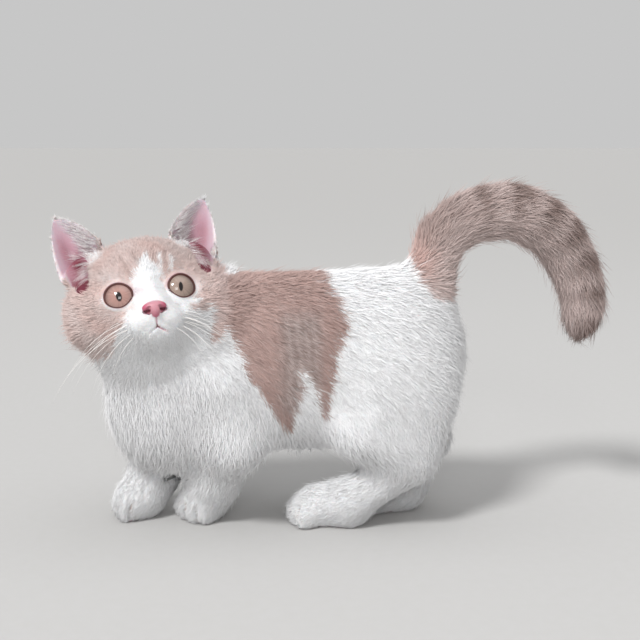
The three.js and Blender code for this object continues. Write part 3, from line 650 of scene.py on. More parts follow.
def headMarks(points, local):
    hx, hy, hz = local.T
    # The cap ends nearer on the left, where the head meets the neck.
    half = np.tile(np.array(headShape["half"], float), (len(local), 1))
    half[:, 0] = np.where(hx > 0, 38 + 4 * smoothstep(hz, 4, 12), half[:, 0])
    headSize = np.linalg.norm((local - headShape["middle"]) / half, axis=1)
    onHead = ((headSize < 1.04) & (hy + 0.3 * hz < 24)) | (headSize < 1.5) & (hz > 24) & (hy < 24)
    rag = ripple(points, 5, 9) * 1.0 + ripple(points, 2.2, 10) * 0.6
    edge = np.array(faceWhite, float).T
    inWhite = np.minimum(hx - np.interp(hz, edge[0], edge[1]), np.interp(hz, edge[0], edge[2]) - hx)
    inWhite = np.where(hz > 18, np.minimum(inWhite, 18 - hz), inWhite)
    flat = np.stack([hx, hz], 1)
    white = smoothstep(inWhite + rag, -2.2, 1.8)
    for start, end, half in faceStreaks:
        away = toSegment(flat, start, end)[0] + 0.4 * rag
        white = np.maximum(white, 0.6 * (1 - smoothstep(away, half * 0.3, half * 1.5)))
    spot = np.linalg.norm((flat - faceSpot["at"]) / faceSpot["half"], axis=1)
    spotShare = (1 - smoothstep(spot + 0.2 * rag, 0.5, 1.2)) * (hy < -10)
    white = white * (1 - 0.8 * spotShare) * smoothstep(-hy, -6, 2)
    low = np.interp(hy, capEdge["back"], capEdge["low"]) + np.where(hx > 0, -3.0, 1.0)
    lilac = (1 - white) * smoothstep(hz - low + 1.6 * rag, -4, 3)
    crown = smoothstep(hz, 2, 16)
    dark = 0.05 * ripple(points, 8, 11) + 0.07 * ripple(points, 3, 13) + 0.20 * crown + 0.3 * spotShare
    for start, end, half in faceDarks:
        dark += 0.24 * (1 - smoothstep(toSegment(flat, start, end)[0], 0.2, half * 1.6)) * (hy < 4)
    # Cream about the ears.
    cream = smoothstep(hz, 19, 27) * smoothstep(np.abs(hx), 14, 20)
    dark = dark * (1 - cream)
    lilac = lilac * (1 - 0.6 * cream)
    whorl = np.sin(np.hypot(hy + 6, hz - 2) / 2.3) * smoothstep(np.abs(hx), 17, 25) * smoothstep(-hz, -8, 4)
    dark += 0.12 * np.clip(whorl, 0, 1)
    for sign in (1, -1):
        _, v, _, fromEye = eyeMap(local, sign)
        ring = np.exp(-((fromEye - 1.2) / 0.8) ** 2) * (hy < -10) * (hx * sign > 0) * smoothstep(-v, -3, 2)
        lilac = lilac * (1 - 0.7 * ring)
    return onHead, lilac, dark, 0.35 + 0.25 * ripple(points, 14, 12)


def markings(points, local):
    # Lilac share, how dark the lilac is, and how rosy, at drawn places and places in the head's frame.
    ragged = ripple(points, 9, 3) * 1.5 + ripple(points, 3.5, 4) * 0.9
    marks = np.zeros((3, len(points))) + [[0], [0], [0.3]]
    for here, *own in (trunkMarks(points, ragged), tailMarks(points, ragged), headMarks(points, local)):
        marks = np.where(here, own, marks)
    return np.clip(marks, 0, 1)


# The nose leather's middle and shape in the head's frame, and where it ends.
leather = {"at": (0, -36.5, -10.8), "shape": (1.35, 1.4, 1), "ends": (3.9, 4.6)}


def bareSkin(points, local, area):
    # How bare the skin is, and how dark its bare part: lids, lips, inner ears and soles, with painted shade
    # in a band above each eye.
    amount = np.zeros(len(points))
    dark = np.zeros(len(points))
    for sign in (1, -1):
        _, v, _, away = eyeMap(local, sign)
        near = (local[:, 1] < -12) & (local[:, 0] * sign > 2)
        upper = smoothstep(v, -2, 3)
        line = near * (1 - smoothstep(away, 0.30 + 0.30 * upper, 0.75 + 0.55 * upper))
        # A soft band of lid colour above each eye is partly the lid's own colour and partly painted shade
        # under its fold.
        band = near * upper * (1 - smoothstep(away, 1.1, 1.8))
        amount = np.maximum(amount, np.maximum(line, 0.5 * band))
        dark = np.maximum(dark, np.maximum(line, 0.30 * band))
    away = mouthAway(local)
    out = smoothstep(local[:, 0] * np.where(local[:, 0] > 0, 1.0, -4.0), 1.5, 6.5)
    lips = (1 - smoothstep(away, 0.2, 0.7)) * (1 - out)
    amount = np.maximum(amount, lips * (0.75 + 0.25 * (local[:, 2] < -17)))
    split = np.linalg.norm((local[:, [0, 2]] - mouth["split"]) / (1.1, 0.9), axis=1)
    splitDark = 0.08 + 0.75 * (1 - smoothstep(split, 0.5, 1.6))
    dark = np.maximum(dark, splitDark * (1 - smoothstep(away, 0.15, 0.7)))
    nose = np.linalg.norm((local - leather["at"]) / leather["shape"], axis=1)
    amount = np.maximum(amount, (1 - smoothstep(nose, *leather["ends"])) * (1 - belowNose(local)))
    amount = np.maximum(np.maximum(amount, area["earInner"]), smoothstep(hollowShare(local), 0.25, 0.5))
    for side in earPlace:
        # The ear's own foot is bare between its hollow and its cup.
        across, _, e = earSpot(local, side)
        foot = smoothstep(e[:, 2], -8, -5) * (1 - smoothstep(e[:, 2], 4, 8)) * (e[:, 1] < 5) * (e[:, 1] > -9)
        amount = np.maximum(amount, foot * (1 - smoothstep(np.abs(across - 0.2), 0.4, 0.6)))
    sole = (1 - smoothstep(points[:, 2], 0.4, 1.4)) * area["paw"]
    return np.maximum(amount, sole), dark


def earTones(local):
    # Inside the ears: how deep the pink is, which in the cup's hollow, in the hollow at the ear's foot and in
    # the pocket fold is painted shade; how grey the inner half; and how pale the rim.
    deep, grey, pale = np.zeros((3, len(local)))
    for side in earPlace:
        across, up, e = earSpot(local, side)
        here = (e[:, 2] > -6) & nearEar(e)
        hollow = (1 - smoothstep(up, 0.12, 0.62)) * np.exp(-((across - 0.1) / 0.5) ** 2)
        band = 0.45 * np.exp(-((across - 0.35) / 0.3) ** 2) * (1 - smoothstep(up, 0.5, 0.9))
        deep = np.where(here, np.maximum(hollow, band), deep)
        greyed = smoothstep(-across, -0.15, 0.6) * 0.8 + 0.5 * smoothstep(up, 0.6, 0.95)
        grey = np.where(here, greyed + 0.6 * smoothstep(across, 0.5, 0.75), grey)
        pale = np.where(here, smoothstep(np.abs(across), 0.80, 0.92) * smoothstep(up, 0.05, 0.2), pale)
    # Painted shade: the deep tone fills the hollow at each ear's foot, less towards its top, and the pocket
    # fold.
    foot = smoothstep(hollowShare(local), 0.2, 0.6)
    shaded = foot * (1 - 0.55 * smoothstep(local[:, 2], 15, 25))
    deep = np.maximum(np.maximum(deep, shaded), 0.8 * smoothstep(pocketShare(local), 0.3, 0.8))
    return deep, np.clip(grey, 0, 1) * (1 - foot), pale * (1 - foot)


def setColours(mesh, name, *channels):
    attribute = mesh.color_attributes.new(name, "FLOAT_COLOR", "POINT")
    channels = [*channels, np.ones(len(mesh.vertices))]
    attribute.data.foreach_set("color", np.ascontiguousarray(np.stack(channels, 1), np.float32).ravel())


co = meshPoints(skinMesh)
normals = meshNormals(skinMesh)
points = toDrawn(co)
local = toHead(co)
area = regions(co, normals)
setColours(skinMesh, "coat", *markings(points, local))
setColours(skinMesh, "bare", *bareSkin(points, local, area), toeCreases(points))
setColours(skinMesh, "ear", *earTones(local))
print("markings laid on the skin")

# Colours of the hair and of the bare skin.
hair = {"white": "#FBFBFC", "lilac": "#E6D6D2", "lilacDark": "#8A7872", "rosy": "#F6DFD9"}
# The deep tone of the ear hollows and the crease tone between the toes are painted shade.
skinTone = {
    "pink": "#BC919E", "pale": "#C9A5B0", "lid": "#4E2C28", "deep": "#74303F", "grey": "#C6B7C1",
    "rim": "#EFE6E8", "crease": "#A8938D",
}
# Settings of a node that mixes two colours, and of one that multiplies them.
mixing = {"data_type": "RGBA"}
multiplying = {"data_type": "RGBA", "blend_type": "MULTIPLY", 0: 1.0}


def startMaterial(name, surface):
    material = bpy.data.materials.new(name)
    material.use_nodes = True
    tree = material.node_tree
    tree.nodes.clear()
    shader = addNode(tree, "ShaderNodeBsdfPrincipled", surface)
    addNode(tree, "ShaderNodeOutputMaterial", links={"Surface": shader.outputs[0]})
    return material, tree, shader


def hairColour(tree):
    # White or lilac hair by the coat attribute: red is lilac, green how dark, blue how rosy.
    coat = addNode(tree, "ShaderNodeAttribute", {"attribute_name": "coat"})
    parts = addNode(tree, "ShaderNodeSeparateColor", links={0: coat.outputs["Color"]})
    tones = {**mixing, 6: srgb(hair["lilac"]), 7: srgb(hair["lilacDark"])}
    lilac = addNode(tree, "ShaderNodeMix", tones, {0: parts.outputs[1]})
    warmth = {**multiplying, 7: srgb(hair["rosy"])}
    rosy = addNode(tree, "ShaderNodeMix", warmth, {0: parts.outputs[2], 6: lilac.outputs[2]})
    whole = {**mixing, 6: srgb(hair["white"])}
    return addNode(tree, "ShaderNodeMix", whole, {0: parts.outputs[0], 7: rosy.outputs[2]}).outputs[2]


# Kitten hair, grown: soft and dull, paler towards the tips, each tuft a little off its neighbours.
hairMaterial, tree, shader = startMaterial(
    "kitten hair, grown",
    {"Roughness": 0.85, "Specular IOR Level": 0.08, "Sheen Weight": 0.1, "Sheen Roughness": 0.5},
)
tuftTone = addNode(tree, "ShaderNodeAttribute", {"attribute_name": "tuft"})
toned = addNode(tree, "ShaderNodeMix", multiplying, {6: hairColour(tree), 7: tuftTone.outputs["Color"]})
tree.links.new(toned.outputs[2], shader.inputs["Base Color"])

# Kitten skin, grown: matt under its down, and where it is bare pink, moist and finely creased.
skinMaterial, tree, shader = startMaterial(
    "kitten skin with down, grown",
    {
        "Roughness": 0.6, "Specular IOR Level": 0.3, "Subsurface Weight": 0.2,
        "Subsurface Radius": (0.002, 0.0008, 0.0005), "Subsurface Scale": 1.0,
    },
)
bareNode = addNode(tree, "ShaderNodeAttribute", {"attribute_name": "bare"})
bareParts = addNode(tree, "ShaderNodeSeparateColor", links={0: bareNode.outputs["Color"]})
earNode = addNode(tree, "ShaderNodeAttribute", {"attribute_name": "ear"})
earParts = addNode(tree, "ShaderNodeSeparateColor", links={0: earNode.outputs["Color"]})
place = addNode(tree, "ShaderNodeTexCoord")
# Down streaks 0.4 mm wide, drawn out along the body.
lie = addNode(tree, "ShaderNodeMapping", {"Scale": (2200, 500, 1100)}, {"Vector": place.outputs["Object"]})
down = addNode(tree, "ShaderNodeTexNoise", {"Scale": 1.0, "Detail": 3.0}, {"Vector": lie.outputs[0]})
# Pores and creases of bare skin, about 0.7 mm apart.
pores = addNode(
    tree, "ShaderNodeTexNoise", {"Scale": 1400.0, "Detail": 2.0}, {"Vector": place.outputs["Object"]}
)
downTone = addNode(
    tree, "ShaderNodeMapRange", {"From Min": 0.25, "From Max": 0.75, "To Min": 0.82, "To Max": 0.98},
    {0: down.outputs[0]},
)
toneNode = addNode(tree, "ShaderNodeAttribute", {"attribute_name": "tuft"})
streaked = addNode(tree, "ShaderNodeMix", multiplying, {6: hairColour(tree), 7: downTone.outputs[0]})
downy = addNode(tree, "ShaderNodeMix", multiplying, {6: streaked.outputs[2], 7: toneNode.outputs["Color"]})
# Painted shade: in the creases between the toes the down turns to the crease tone.
creased = addNode(
    tree, "ShaderNodeMix", {**mixing, 7: srgb(skinTone["crease"])},
    {0: bareParts.outputs[2], 6: downy.outputs[2]},
)
bare = addNode(
    tree, "ShaderNodeMix", {**mixing, 6: srgb(skinTone["pink"]), 7: srgb(skinTone["pale"])},
    {0: pores.outputs[0]},
)
# Over the pink lie the grey half of each ear, its deep hollow in painted shade, its pale rim and the dark
# lids, with painted shade in the band above each eye.
overPink = {
    "grey": earParts.outputs[1], "deep": earParts.outputs[0], "rim": earParts.outputs[2],
    "lid": bareParts.outputs[1],
}
for tone, share in overPink.items():
    bare = addNode(tree, "ShaderNodeMix", {**mixing, 7: srgb(skinTone[tone])}, {0: share, 6: bare.outputs[2]})
whole = addNode(
    tree, "ShaderNodeMix", mixing, {0: bareParts.outputs[0], 6: creased.outputs[2], 7: bare.outputs[2]}
)
tree.links.new(whole.outputs[2], shader.inputs["Base Color"])
height = addNode(
    tree, "ShaderNodeMix", {"data_type": "FLOAT"},
    {0: bareParts.outputs[0], 2: down.outputs[0], 3: pores.outputs[0]},
)
bump = addNode(tree, "ShaderNodeBump", {"Strength": 0.35, "Distance": 0.0004}, {"Height": height.outputs[0]})
tree.links.new(bump.outputs[0], shader.inputs["Normal"])
skinMesh.materials.clear()
skinMesh.materials.append(skinMaterial)

# Glass eyes, each with its iris colours from the middle out, its pupil and its gaze (yaw and pitch).
eyes = {
    "reach": 10, "bulge": 0.5, "bulgeWithin": 52, "threads": 16.0, "ring": "#4A322D", "edge": "#33231F",
    "pupil": "#120A09",
}
irises = {
    "left": {
        "sign": 1, "pupil": (0.95, 2.25), "tilt": 6, "gaze": (-2, -3),
        "inner": "#99857A", "middle": "#8F7D72", "outer": "#75635A",
    },
    "right": {
        "sign": -1, "pupil": (1.3, 2.3), "tilt": -4, "gaze": (2.4, -3.5),
        "inner": "#A8837A", "middle": "#9E7E76", "outer": "#82625B",
    },
}


def eyeMaterial(side, look):
    # Lampworked glass: clear and high in gloss, with the iris painted in fine threads behind it.
    material, tree, shader = startMaterial(
        f"glass eye, lampworked, {side}",
        {"Roughness": 0.3, "Specular IOR Level": 0.1, "IOR": 1.5, "Coat Weight": 1.0, "Coat Roughness": 0.02},
    )
    spot = addNode(tree, "ShaderNodeUVMap", {"uv_map": "iris"})
    reach = eyes["reach"]
    flat = addNode(
        tree, "ShaderNodeMapping", {"Scale": (2 * reach, 2 * reach, 1), "Location": (-reach, -reach, 0)},
        {"Vector": spot.outputs[0]},
    )
    radius = addNode(tree, "ShaderNodeVectorMath", {"operation": "LENGTH"}, {0: flat.outputs[0]})
    away = addNode(tree, "ShaderNodeMapRange", {"From Max": reach}, {0: radius.outputs["Value"]})
    rings = addNode(tree, "ShaderNodeValToRGB", links={0: away.outputs[0]})
    stops = [
        (0.0, look["middle"]), (0.2, look["inner"]), (0.36, look["inner"]), (0.52, look["middle"]),
        (0.68, look["outer"]), (0.77, eyes["ring"]), (0.86, eyes["edge"]), (1.0, eyes["edge"]),
    ]
    ramp = rings.color_ramp
    for position, _ in stops[1:-1]:
        ramp.elements.new(position)
    for element, (position, hexColour) in zip(ramp.elements, stops):
        element.position = position
        element.color = srgb(hexColour)
    around = addNode(tree, "ShaderNodeVectorMath", {"operation": "NORMALIZE"}, {0: flat.outputs[0]})
    threads = addNode(
        tree, "ShaderNodeTexNoise", {"Scale": eyes["threads"], "Detail": 3.0}, {"Vector": around.outputs[0]}
    )
    threadTone = addNode(
        tree, "ShaderNodeMapRange", {"From Min": 0.3, "From Max": 0.7, "To Min": 0.80, "To Max": 1.15},
        {0: threads.outputs[0]},
    )
    painted = addNode(tree, "ShaderNodeMix", multiplying, {6: rings.outputs[0], 7: threadTone.outputs[0]})
    wide, high = look["pupil"]
    tilt = (0, 0, math.radians(look["tilt"]))
    turned = addNode(tree, "ShaderNodeMapping", {"Rotation": tilt}, {"Vector": flat.outputs[0]})
    shrunk = (1 / wide, 1 / high, 1)
    slit = addNode(tree, "ShaderNodeMapping", {"Scale": shrunk}, {"Vector": turned.outputs[0]})
    slitAway = addNode(tree, "ShaderNodeVectorMath", {"operation": "LENGTH"}, {0: slit.outputs[0]})
    dark = addNode(
        tree, "ShaderNodeMapRange", {"From Min": 0.85, "From Max": 1.15, "To Min": 1.0, "To Max": 0.0},
        {0: slitAway.outputs["Value"]},
    )
    pupil = addNode(
        tree, "ShaderNodeMix", {**mixing, 7: srgb(eyes["pupil"])}, {0: dark.outputs[0], 6: painted.outputs[2]}
    )
    tree.links.new(pupil.outputs[2], shader.inputs["Base Color"])
    return material


def makeEye(side, look):
    low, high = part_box("eye_" + side)
    at, turn = eyeFrame(look["sign"])
    yaw, pitch = look["gaze"]
    gazeTurn = headTurn @ turn @ spun(yaw, -pitch, 0)
    bm = bmesh.new()
    bmesh.ops.create_uvsphere(bm, u_segments=64, v_segments=40, radius=eyePlace["radius"] * mm)
    irisMap = bm.loops.layers.uv.new("iris")
    places = {}
    for v in bm.verts:
        away = math.degrees(v.co.angle(Vector((0, 0, 1))))
        # The cornea stands a little proud of the ball.
        bulge = eyes["bulge"] * mm * max(0, 1 - (away / eyes["bulgeWithin"]) ** 2)
        v.co *= 1 + bulge / v.co.length
        flat = Vector((v.co.x, v.co.y))
        reach = math.radians(away) * eyePlace["radius"]
        places[v] = flat.normalized() * reach if flat.length > 1e-9 else Vector((0, 0))
    for face in bm.faces:
        face.smooth = True
        for loop in face.loops:
            x, y = places[loop.vert] / (2 * eyes["reach"])
            loop[irisMap].uv = (0.5 + x, 0.5 + y)
    # The sphere's own z axis is turned to look along the gaze, its y axis up.
    axes = Matrix(((1, 0, 0), (0, 0, -1), (0, 1, 0)))
    placed = Matrix.Translation((low + high) / 2) @ (Matrix(gazeTurn.tolist()) @ axes).to_4x4()
    bmesh.ops.transform(bm, matrix=placed, verts=bm.verts)
    mesh = builtMesh(bm, "glass_eye_" + side)
    mesh.materials.append(eyeMaterial(side, look))
    addPiece(mesh, "glass_eye_" + side, "eye", "eye_" + side)


for side, look in irises.items():
    makeEye(side, look)
print("eyes set")

# Nose leather: finely pebbled and moist, rosier at its wings, with painted shade darkening the nostrils,
# which are shallow dents.
nose = {
    "voxel": 0.28, "swell": 0.1, "rounds": 9.0, "middle": "#C68A95", "wing": "#BC5A74", "nostril": "#5A1024",
}
noseMaterial, tree, shader = startMaterial(
    "nose leather, grown",
    {
        "Roughness": 0.42, "Subsurface Weight": 0.15, "Subsurface Radius": (0.001, 0.0004, 0.0003),
        "Subsurface Scale": 1.0,
    },
)
place = addNode(tree, "ShaderNodeTexCoord")
# Pebbles about 0.35 mm across.
pebbles = addNode(tree, "ShaderNodeTexVoronoi", {"Scale": 2800.0}, {"Vector": place.outputs["Object"]})
wings = addNode(tree, "ShaderNodeAttribute", {"attribute_name": "nostril"})
wingParts = addNode(tree, "ShaderNodeSeparateColor", links={0: wings.outputs["Color"]})
pebbled = addNode(
    tree, "ShaderNodeMapRange", {"From Max": 0.8, "To Min": 1.0, "To Max": 0.88}, {0: pebbles.outputs[0]}
)
rosy = addNode(
    tree, "ShaderNodeMix", {**mixing, 6: srgb(nose["middle"]), 7: srgb(nose["wing"])},
    {0: wingParts.outputs[1]},
)
toned = addNode(tree, "ShaderNodeMix", multiplying, {6: rosy.outputs[2], 7: pebbled.outputs[0]})
holed = addNode(
    tree, "ShaderNodeMix", {**mixing, 7: srgb(nose["nostril"])},
    {0: wingParts.outputs[0], 6: toned.outputs[2]},
)
tree.links.new(holed.outputs[2], shader.inputs["Base Color"])
bump = addNode(tree, "ShaderNodeBump", {"Strength": 0.25, "Distance": 0.0002}, {"Height": pebbles.outputs[0]})
tree.links.new(bump.outputs[0], shader.inputs["Normal"])

noseMesh = remeshed(joinedNodes(["nose"], "nose_source", nose["swell"]), nose["voxel"], "nose_leather")
h = meshPoints(noseMesh)
h = toHead(eased(h, meshEdges(noseMesh), np.full(len(h), nose["rounds"])))
# Painted shade: the nostril tone darkens the shallow dents of the pits.
pit = 1 - smoothstep(nostrilAway(h), 0.6, 1.3)
h[:, 1] += nostrils["dent"] * pit + nostrils["under"] * belowNose(h)
lowest = 1 - smoothstep(h[:, 2], -15.5, -12.0)
setColours(noseMesh, "nostril", pit, np.maximum(smoothstep(np.abs(h[:, 0]), 1.6, 5.0), 0.8 * lowest), pit)
movePoints(noseMesh, fromHead(h))
smoothFaces(noseMesh)
noseMesh.materials.clear()
noseMesh.materials.append(noseMaterial)
addPiece(noseMesh, "nose_leather", "nose_leather", "nose")
print("nose set:", len(noseMesh.polygons), "faces")

# The coat of each part: the tufts' length and width, their lift off the skin, how many there are on a
# square millimetre, their share of the skin's own shading, and how pale the hair is, which is lower on the
# face, belly, legs and paws, partly the hair's own tone and partly painted shade.
coat = {
    "body": (5.6, 0.34, 17, 2.4, 0.6, 1.0),
    "chest": (6.2, 0.32, 19, 2.45, 0.65, 0.98),
    "belly": (7.0, 0.38, 22, 1.7, 0.55, 0.94),
    "tail": (7.5, 0.38, 23, 2.4, 0.35, 1.0),
    "lowerLeg": (4.6, 0.33, 23, 2.3, 0.5, 0.90),
    "paw": (2.8, 0.30, 26, 4.0, 0.45, 0.86),
    "head": (5.0, 0.35, 23, 3.1, 0.5, 0.98),
    "face": (2.8, 0.30, 23, 7.8, 0.5, 0.91),
    "cheek": (6.0, 0.34, 27, 4.1, 0.5, 1.0),
    "ear": (2.2, 0.20, 14, 4.8, 0, 1.0),
}
# One tuft: where it is widest, how flat it is, how far its root is sunk, half its patch on the unwrap,
# its least height over the floor in metres, its tone from root to tip, and how far tufts differ.
tuft = {
    "waist": 0.42, "flat": 0.55, "sunk": 0.4, "patch": 0.0015, "least": 0.0001, "tones": (0.92, 1.0),
    "uneven": 0.10, "patchy": 0.30,
}
# Stray tufts: their share, and how much longer and steeper they are.
stray = {"share": 0.06, "longer": 1.4, "steeper": 1.8}
# How much locks of hair, of these sizes in mm, rise above or below their neighbours.
locks = {"sizes": (3.0, 1.7), "rise": (0.28, 0.18)}
# How far tufts turn in degrees, by broad locks, by fine ones and each by itself, and the shares by which
# their length, lift and colours differ.
loose = {
    "broad": 9, "fine": 6, "own": 14, "length": 0.20, "lengthWave": 0.12, "lift": 0.20, "dark": 0.07,
    "rosy": 0.08,
}
quickShare = 1.0


def tuftTemplate():
    # A tuft is a closed spindle, made of a three-sided cone whose base is drawn out to a point.
    bm = bmesh.new()
    bmesh.ops.create_cone(bm, cap_ends=True, segments=3, radius1=1.0, radius2=0.0, depth=1.0)
    tip = max(bm.verts, key=lambda v: v.co.z)
    root = bmesh.ops.poke(bm, faces=[f for f in bm.faces if tip not in f.verts])["verts"][0]
    ring = [v for v in bm.verts if v not in (tip, root)]
    upright = math.pi / 2 - math.atan2(ring[0].co.y, ring[0].co.x)
    bmesh.ops.rotate(bm, cent=(0, 0, 0), matrix=Matrix.Rotation(upright, 3, "Z"), verts=bm.verts)
    for v in ring:
        v.co.z = tuft["waist"]
    root.co.z, tip.co.z = 0, 1
    bm.verts.index_update()
    spots = np.array([v.co for v in bm.verts])
    faces = np.array([[v.index for v in face.verts] for face in bm.faces])
    bm.free()
    return spots, faces


tuftSpots, tuftFaces = tuftTemplate()


def growTufts(name, slot, at, normal, way, long, wide, rise, bent, uv, marks, skinShare, pale):
    # One piece of coat: a closed tuft at each place, rising at one angle and tipped at another.
    count = len(at)
    side = np.cross(normal, way)

    def towards(angle):
        return (way * np.cos(angle)[:, None] + normal * np.sin(angle)[:, None])[:, None]

    x, y, along = tuftSpots.T[:, None, :, None]
    low = np.minimum(along, tuft["waist"]) * long[:, None, None]
    high = np.maximum(along - tuft["waist"], 0) * long[:, None, None]
    line = at[:, None] - normal[:, None] * tuft["sunk"] * mm + towards(rise) * low + towards(bent) * high
    half = wide[:, None, None] / 2
    around = side[:, None] * x * half + normal[:, None] * y * half * tuft["flat"]
    placed = line + around
    placed[:, :, 2] = np.maximum(placed[:, :, 2], tuft["least"])
    skinShare = skinShare[:, None, None]
    normals = unit(normal[:, None] * skinShare + unit(around) * (1 - skinShare))

    mesh = bpy.data.meshes.new(name)
    corners = (np.arange(count)[:, None] * len(tuftSpots) + tuftFaces.ravel()).ravel()
    mesh.vertices.add(count * len(tuftSpots))
    mesh.vertices.foreach_set("co", placed.astype(np.float32).ravel())
    mesh.loops.add(len(corners))
    mesh.loops.foreach_set("vertex_index", corners.astype(np.int32))
    mesh.polygons.add(count * len(tuftFaces))
    mesh.polygons.foreach_set("loop_start", np.arange(0, len(corners), 3, dtype=np.int32))
    mesh.update(calc_edges=True)
    smoothFaces(mesh)
    patch = np.stack([tuftSpots[:, 0], 2 * tuftSpots[:, 2] - 1], 1) * tuft["patch"]
    layer = mesh.uv_layers.new(name="OFBake")
    layer.uv.foreach_set("vector", (uv[:, None] + patch[tuftFaces.ravel()]).astype(np.float32).ravel())
    setColours(mesh, "coat", *[channel.repeat(len(tuftSpots)) for channel in marks])
    # Paleness lowered on the face, belly, legs and paws is partly painted shade.
    own = pale * rng.uniform(1 - tuft["uneven"], 1.0, count)
    tone = np.interp(tuftSpots[:, 2], (0, 1), tuft["tones"]) * own[:, None]
    setColours(mesh, "tuft", *[tone.ravel()] * 3)
    mesh.normals_split_custom_set_from_vertices(normals.reshape(-1, 3))
    mesh.materials.append(hairMaterial)
    addPiece(mesh, name, slot)
    print(name, count, "tufts", len(mesh.polygons), "triangles")
    return len(mesh.polygons)


# The lines that the coat lies along, each with the thickness about it and its strength, and how far it
# hangs down on the trunk and the chest.
guides = [(spine, 34, 1.0), *[(line, 9, 1.4) for line in legLines.values()], (tailLine, 8, 1.6)]
hang = {"trunk": 0.55, "chest": 0.9}


def coatFlow():
    # The lie of the coat: back from the nose, along the spine, down the legs and out along the tail.
    flow = np.zeros_like(points)
    for line, thick, strength in guides:
        for start, end in zip(line, line[1:]):
            away = toSegment(points, start, end)[0]
            way = np.array(end, float) - np.array(start, float)
            flow += (strength / np.maximum(away - thick, 2.0) ** 2.5)[:, None] * way / np.linalg.norm(way)
    flow = unit(flow)
    trunk = (1 - area["tail"]) * (1 - area["lowerLeg"]) * (1 - area["head"])
    flow[:, 2] -= hang["trunk"] * trunk * (0.4 + np.abs(normals[:, 0]))
    flow[:, 2] -= hang["chest"] * area["chest"] * (1 - area["head"])
    headShare = area["head"][:, None]
    fromNose = unit(local - (0, -40, -9)) @ headTurn.T
    flow = flow * (1 - headShare) + fromNose * headShare
    flow = unit(flow - dotted(flow, normals)[:, None] * normals)
    edges = meshEdges(skinMesh)
    for _ in range(3):
        flow = eased(flow, edges, np.full(len(flow), 6.0))
        flow = unit(flow - dotted(flow, normals)[:, None] * normals)
    # Ears: from the base to the tip.
    for side, ear in earPlace.items():
        up = headTurn @ earTurn(side) @ (-ear["outward"] * earShape["skew"] / earShape["height"], 0, 1.0)
        share = area["ear_" + side][:, None]
        flow = flow * (1 - share) + up * share
    return unit(flow - dotted(flow, normals)[:, None] * normals)


flow = coatFlow()
length, width, lift, dense, skinShare, tone = [
    blended(dict(zip(coat, column)), area) for column in zip(*coat.values())
]
for side in earPlace:
    # The thin foot of an ear is shaded like the ear itself, and its tip is tufted.
    e = earSpot(local, side)[2]
    skinShare *= 1 - smoothstep(e[:, 2], -6, 0) * nearEar(e, 2)
    length += 0.8 * smoothstep(e[:, 2], 24, 30) * area["ear_" + side]
# Painted shade: the hair, and the skin under it, darken in the creases between the toes.
tone *= 1 - toes["shade"] * toeCreases(points)
setColours(skinMesh, "tuft", *[0.92 * tone] * 3)
# Shortest about the nose and the eyes.
onFace = area["face"] > 0.01
noseAway = np.linalg.norm((local - headShape["noseTip"]) / (1.2, 1, 1), axis=1)
eyeAway = np.min([np.where(local[:, 0] * s > 0, eyeMap(local, s)[3], 99) for s in (1, -1)], axis=0)
length = np.where(onFace, length * (0.42 + 0.58 * smoothstep(noseAway, 4, 20)), length)
length = np.where(onFace, length * (0.42 + 0.58 * smoothstep(eyeAway, 0.5, 6)), length)
dense *= 1 - smoothstep(bareSkin(points, local, area)[0], 0.25, 0.6)
dense[onFace & (eyeAway < 0.6)] = 0
dense *= smoothstep(points[:, 2], 0.2, 1.0) * quickShare
width = width / math.sqrt(quickShare)

skinMesh.calc_loop_triangles()
tris = gathered(skinMesh.loop_triangles, "vertices", 3, np.int64)
triLoops = gathered(skinMesh.loop_triangles, "loops", 3, np.int64)
uvs = gathered(skinMesh.uv_layers["OFBake"].uv, "vector", 2)
corner = points[tris]
triArea = np.linalg.norm(np.cross(corner[:, 1] - corner[:, 0], corner[:, 2] - corner[:, 0]), axis=1) / 2
print("skin area, mm2:", round(float(triArea.sum())))


def rootsOn(weight):
    # Random roots on the skin, as many on each face as its weight. Gives a function that spreads
    # a value from the vertices to the roots, and the roots' places on the skin's unwrap.
    count = rng.poisson(weight.sum())
    pick = np.searchsorted(np.cumsum(weight), rng.uniform(0, weight.sum(), count)).clip(0, len(tris) - 1)
    a, b = rng.uniform(size=(2, count))
    flip = a + b > 1
    a[flip], b[flip] = 1 - a[flip], 1 - b[flip]
    share = np.stack([1 - a - b, a, b], 1)

    def spread(values):
        return np.einsum("ij,ij...->i...", share, values[tris[pick]])

    return count, spread, np.einsum("ij,ijk->ik", share, uvs[triLoops[pick]])


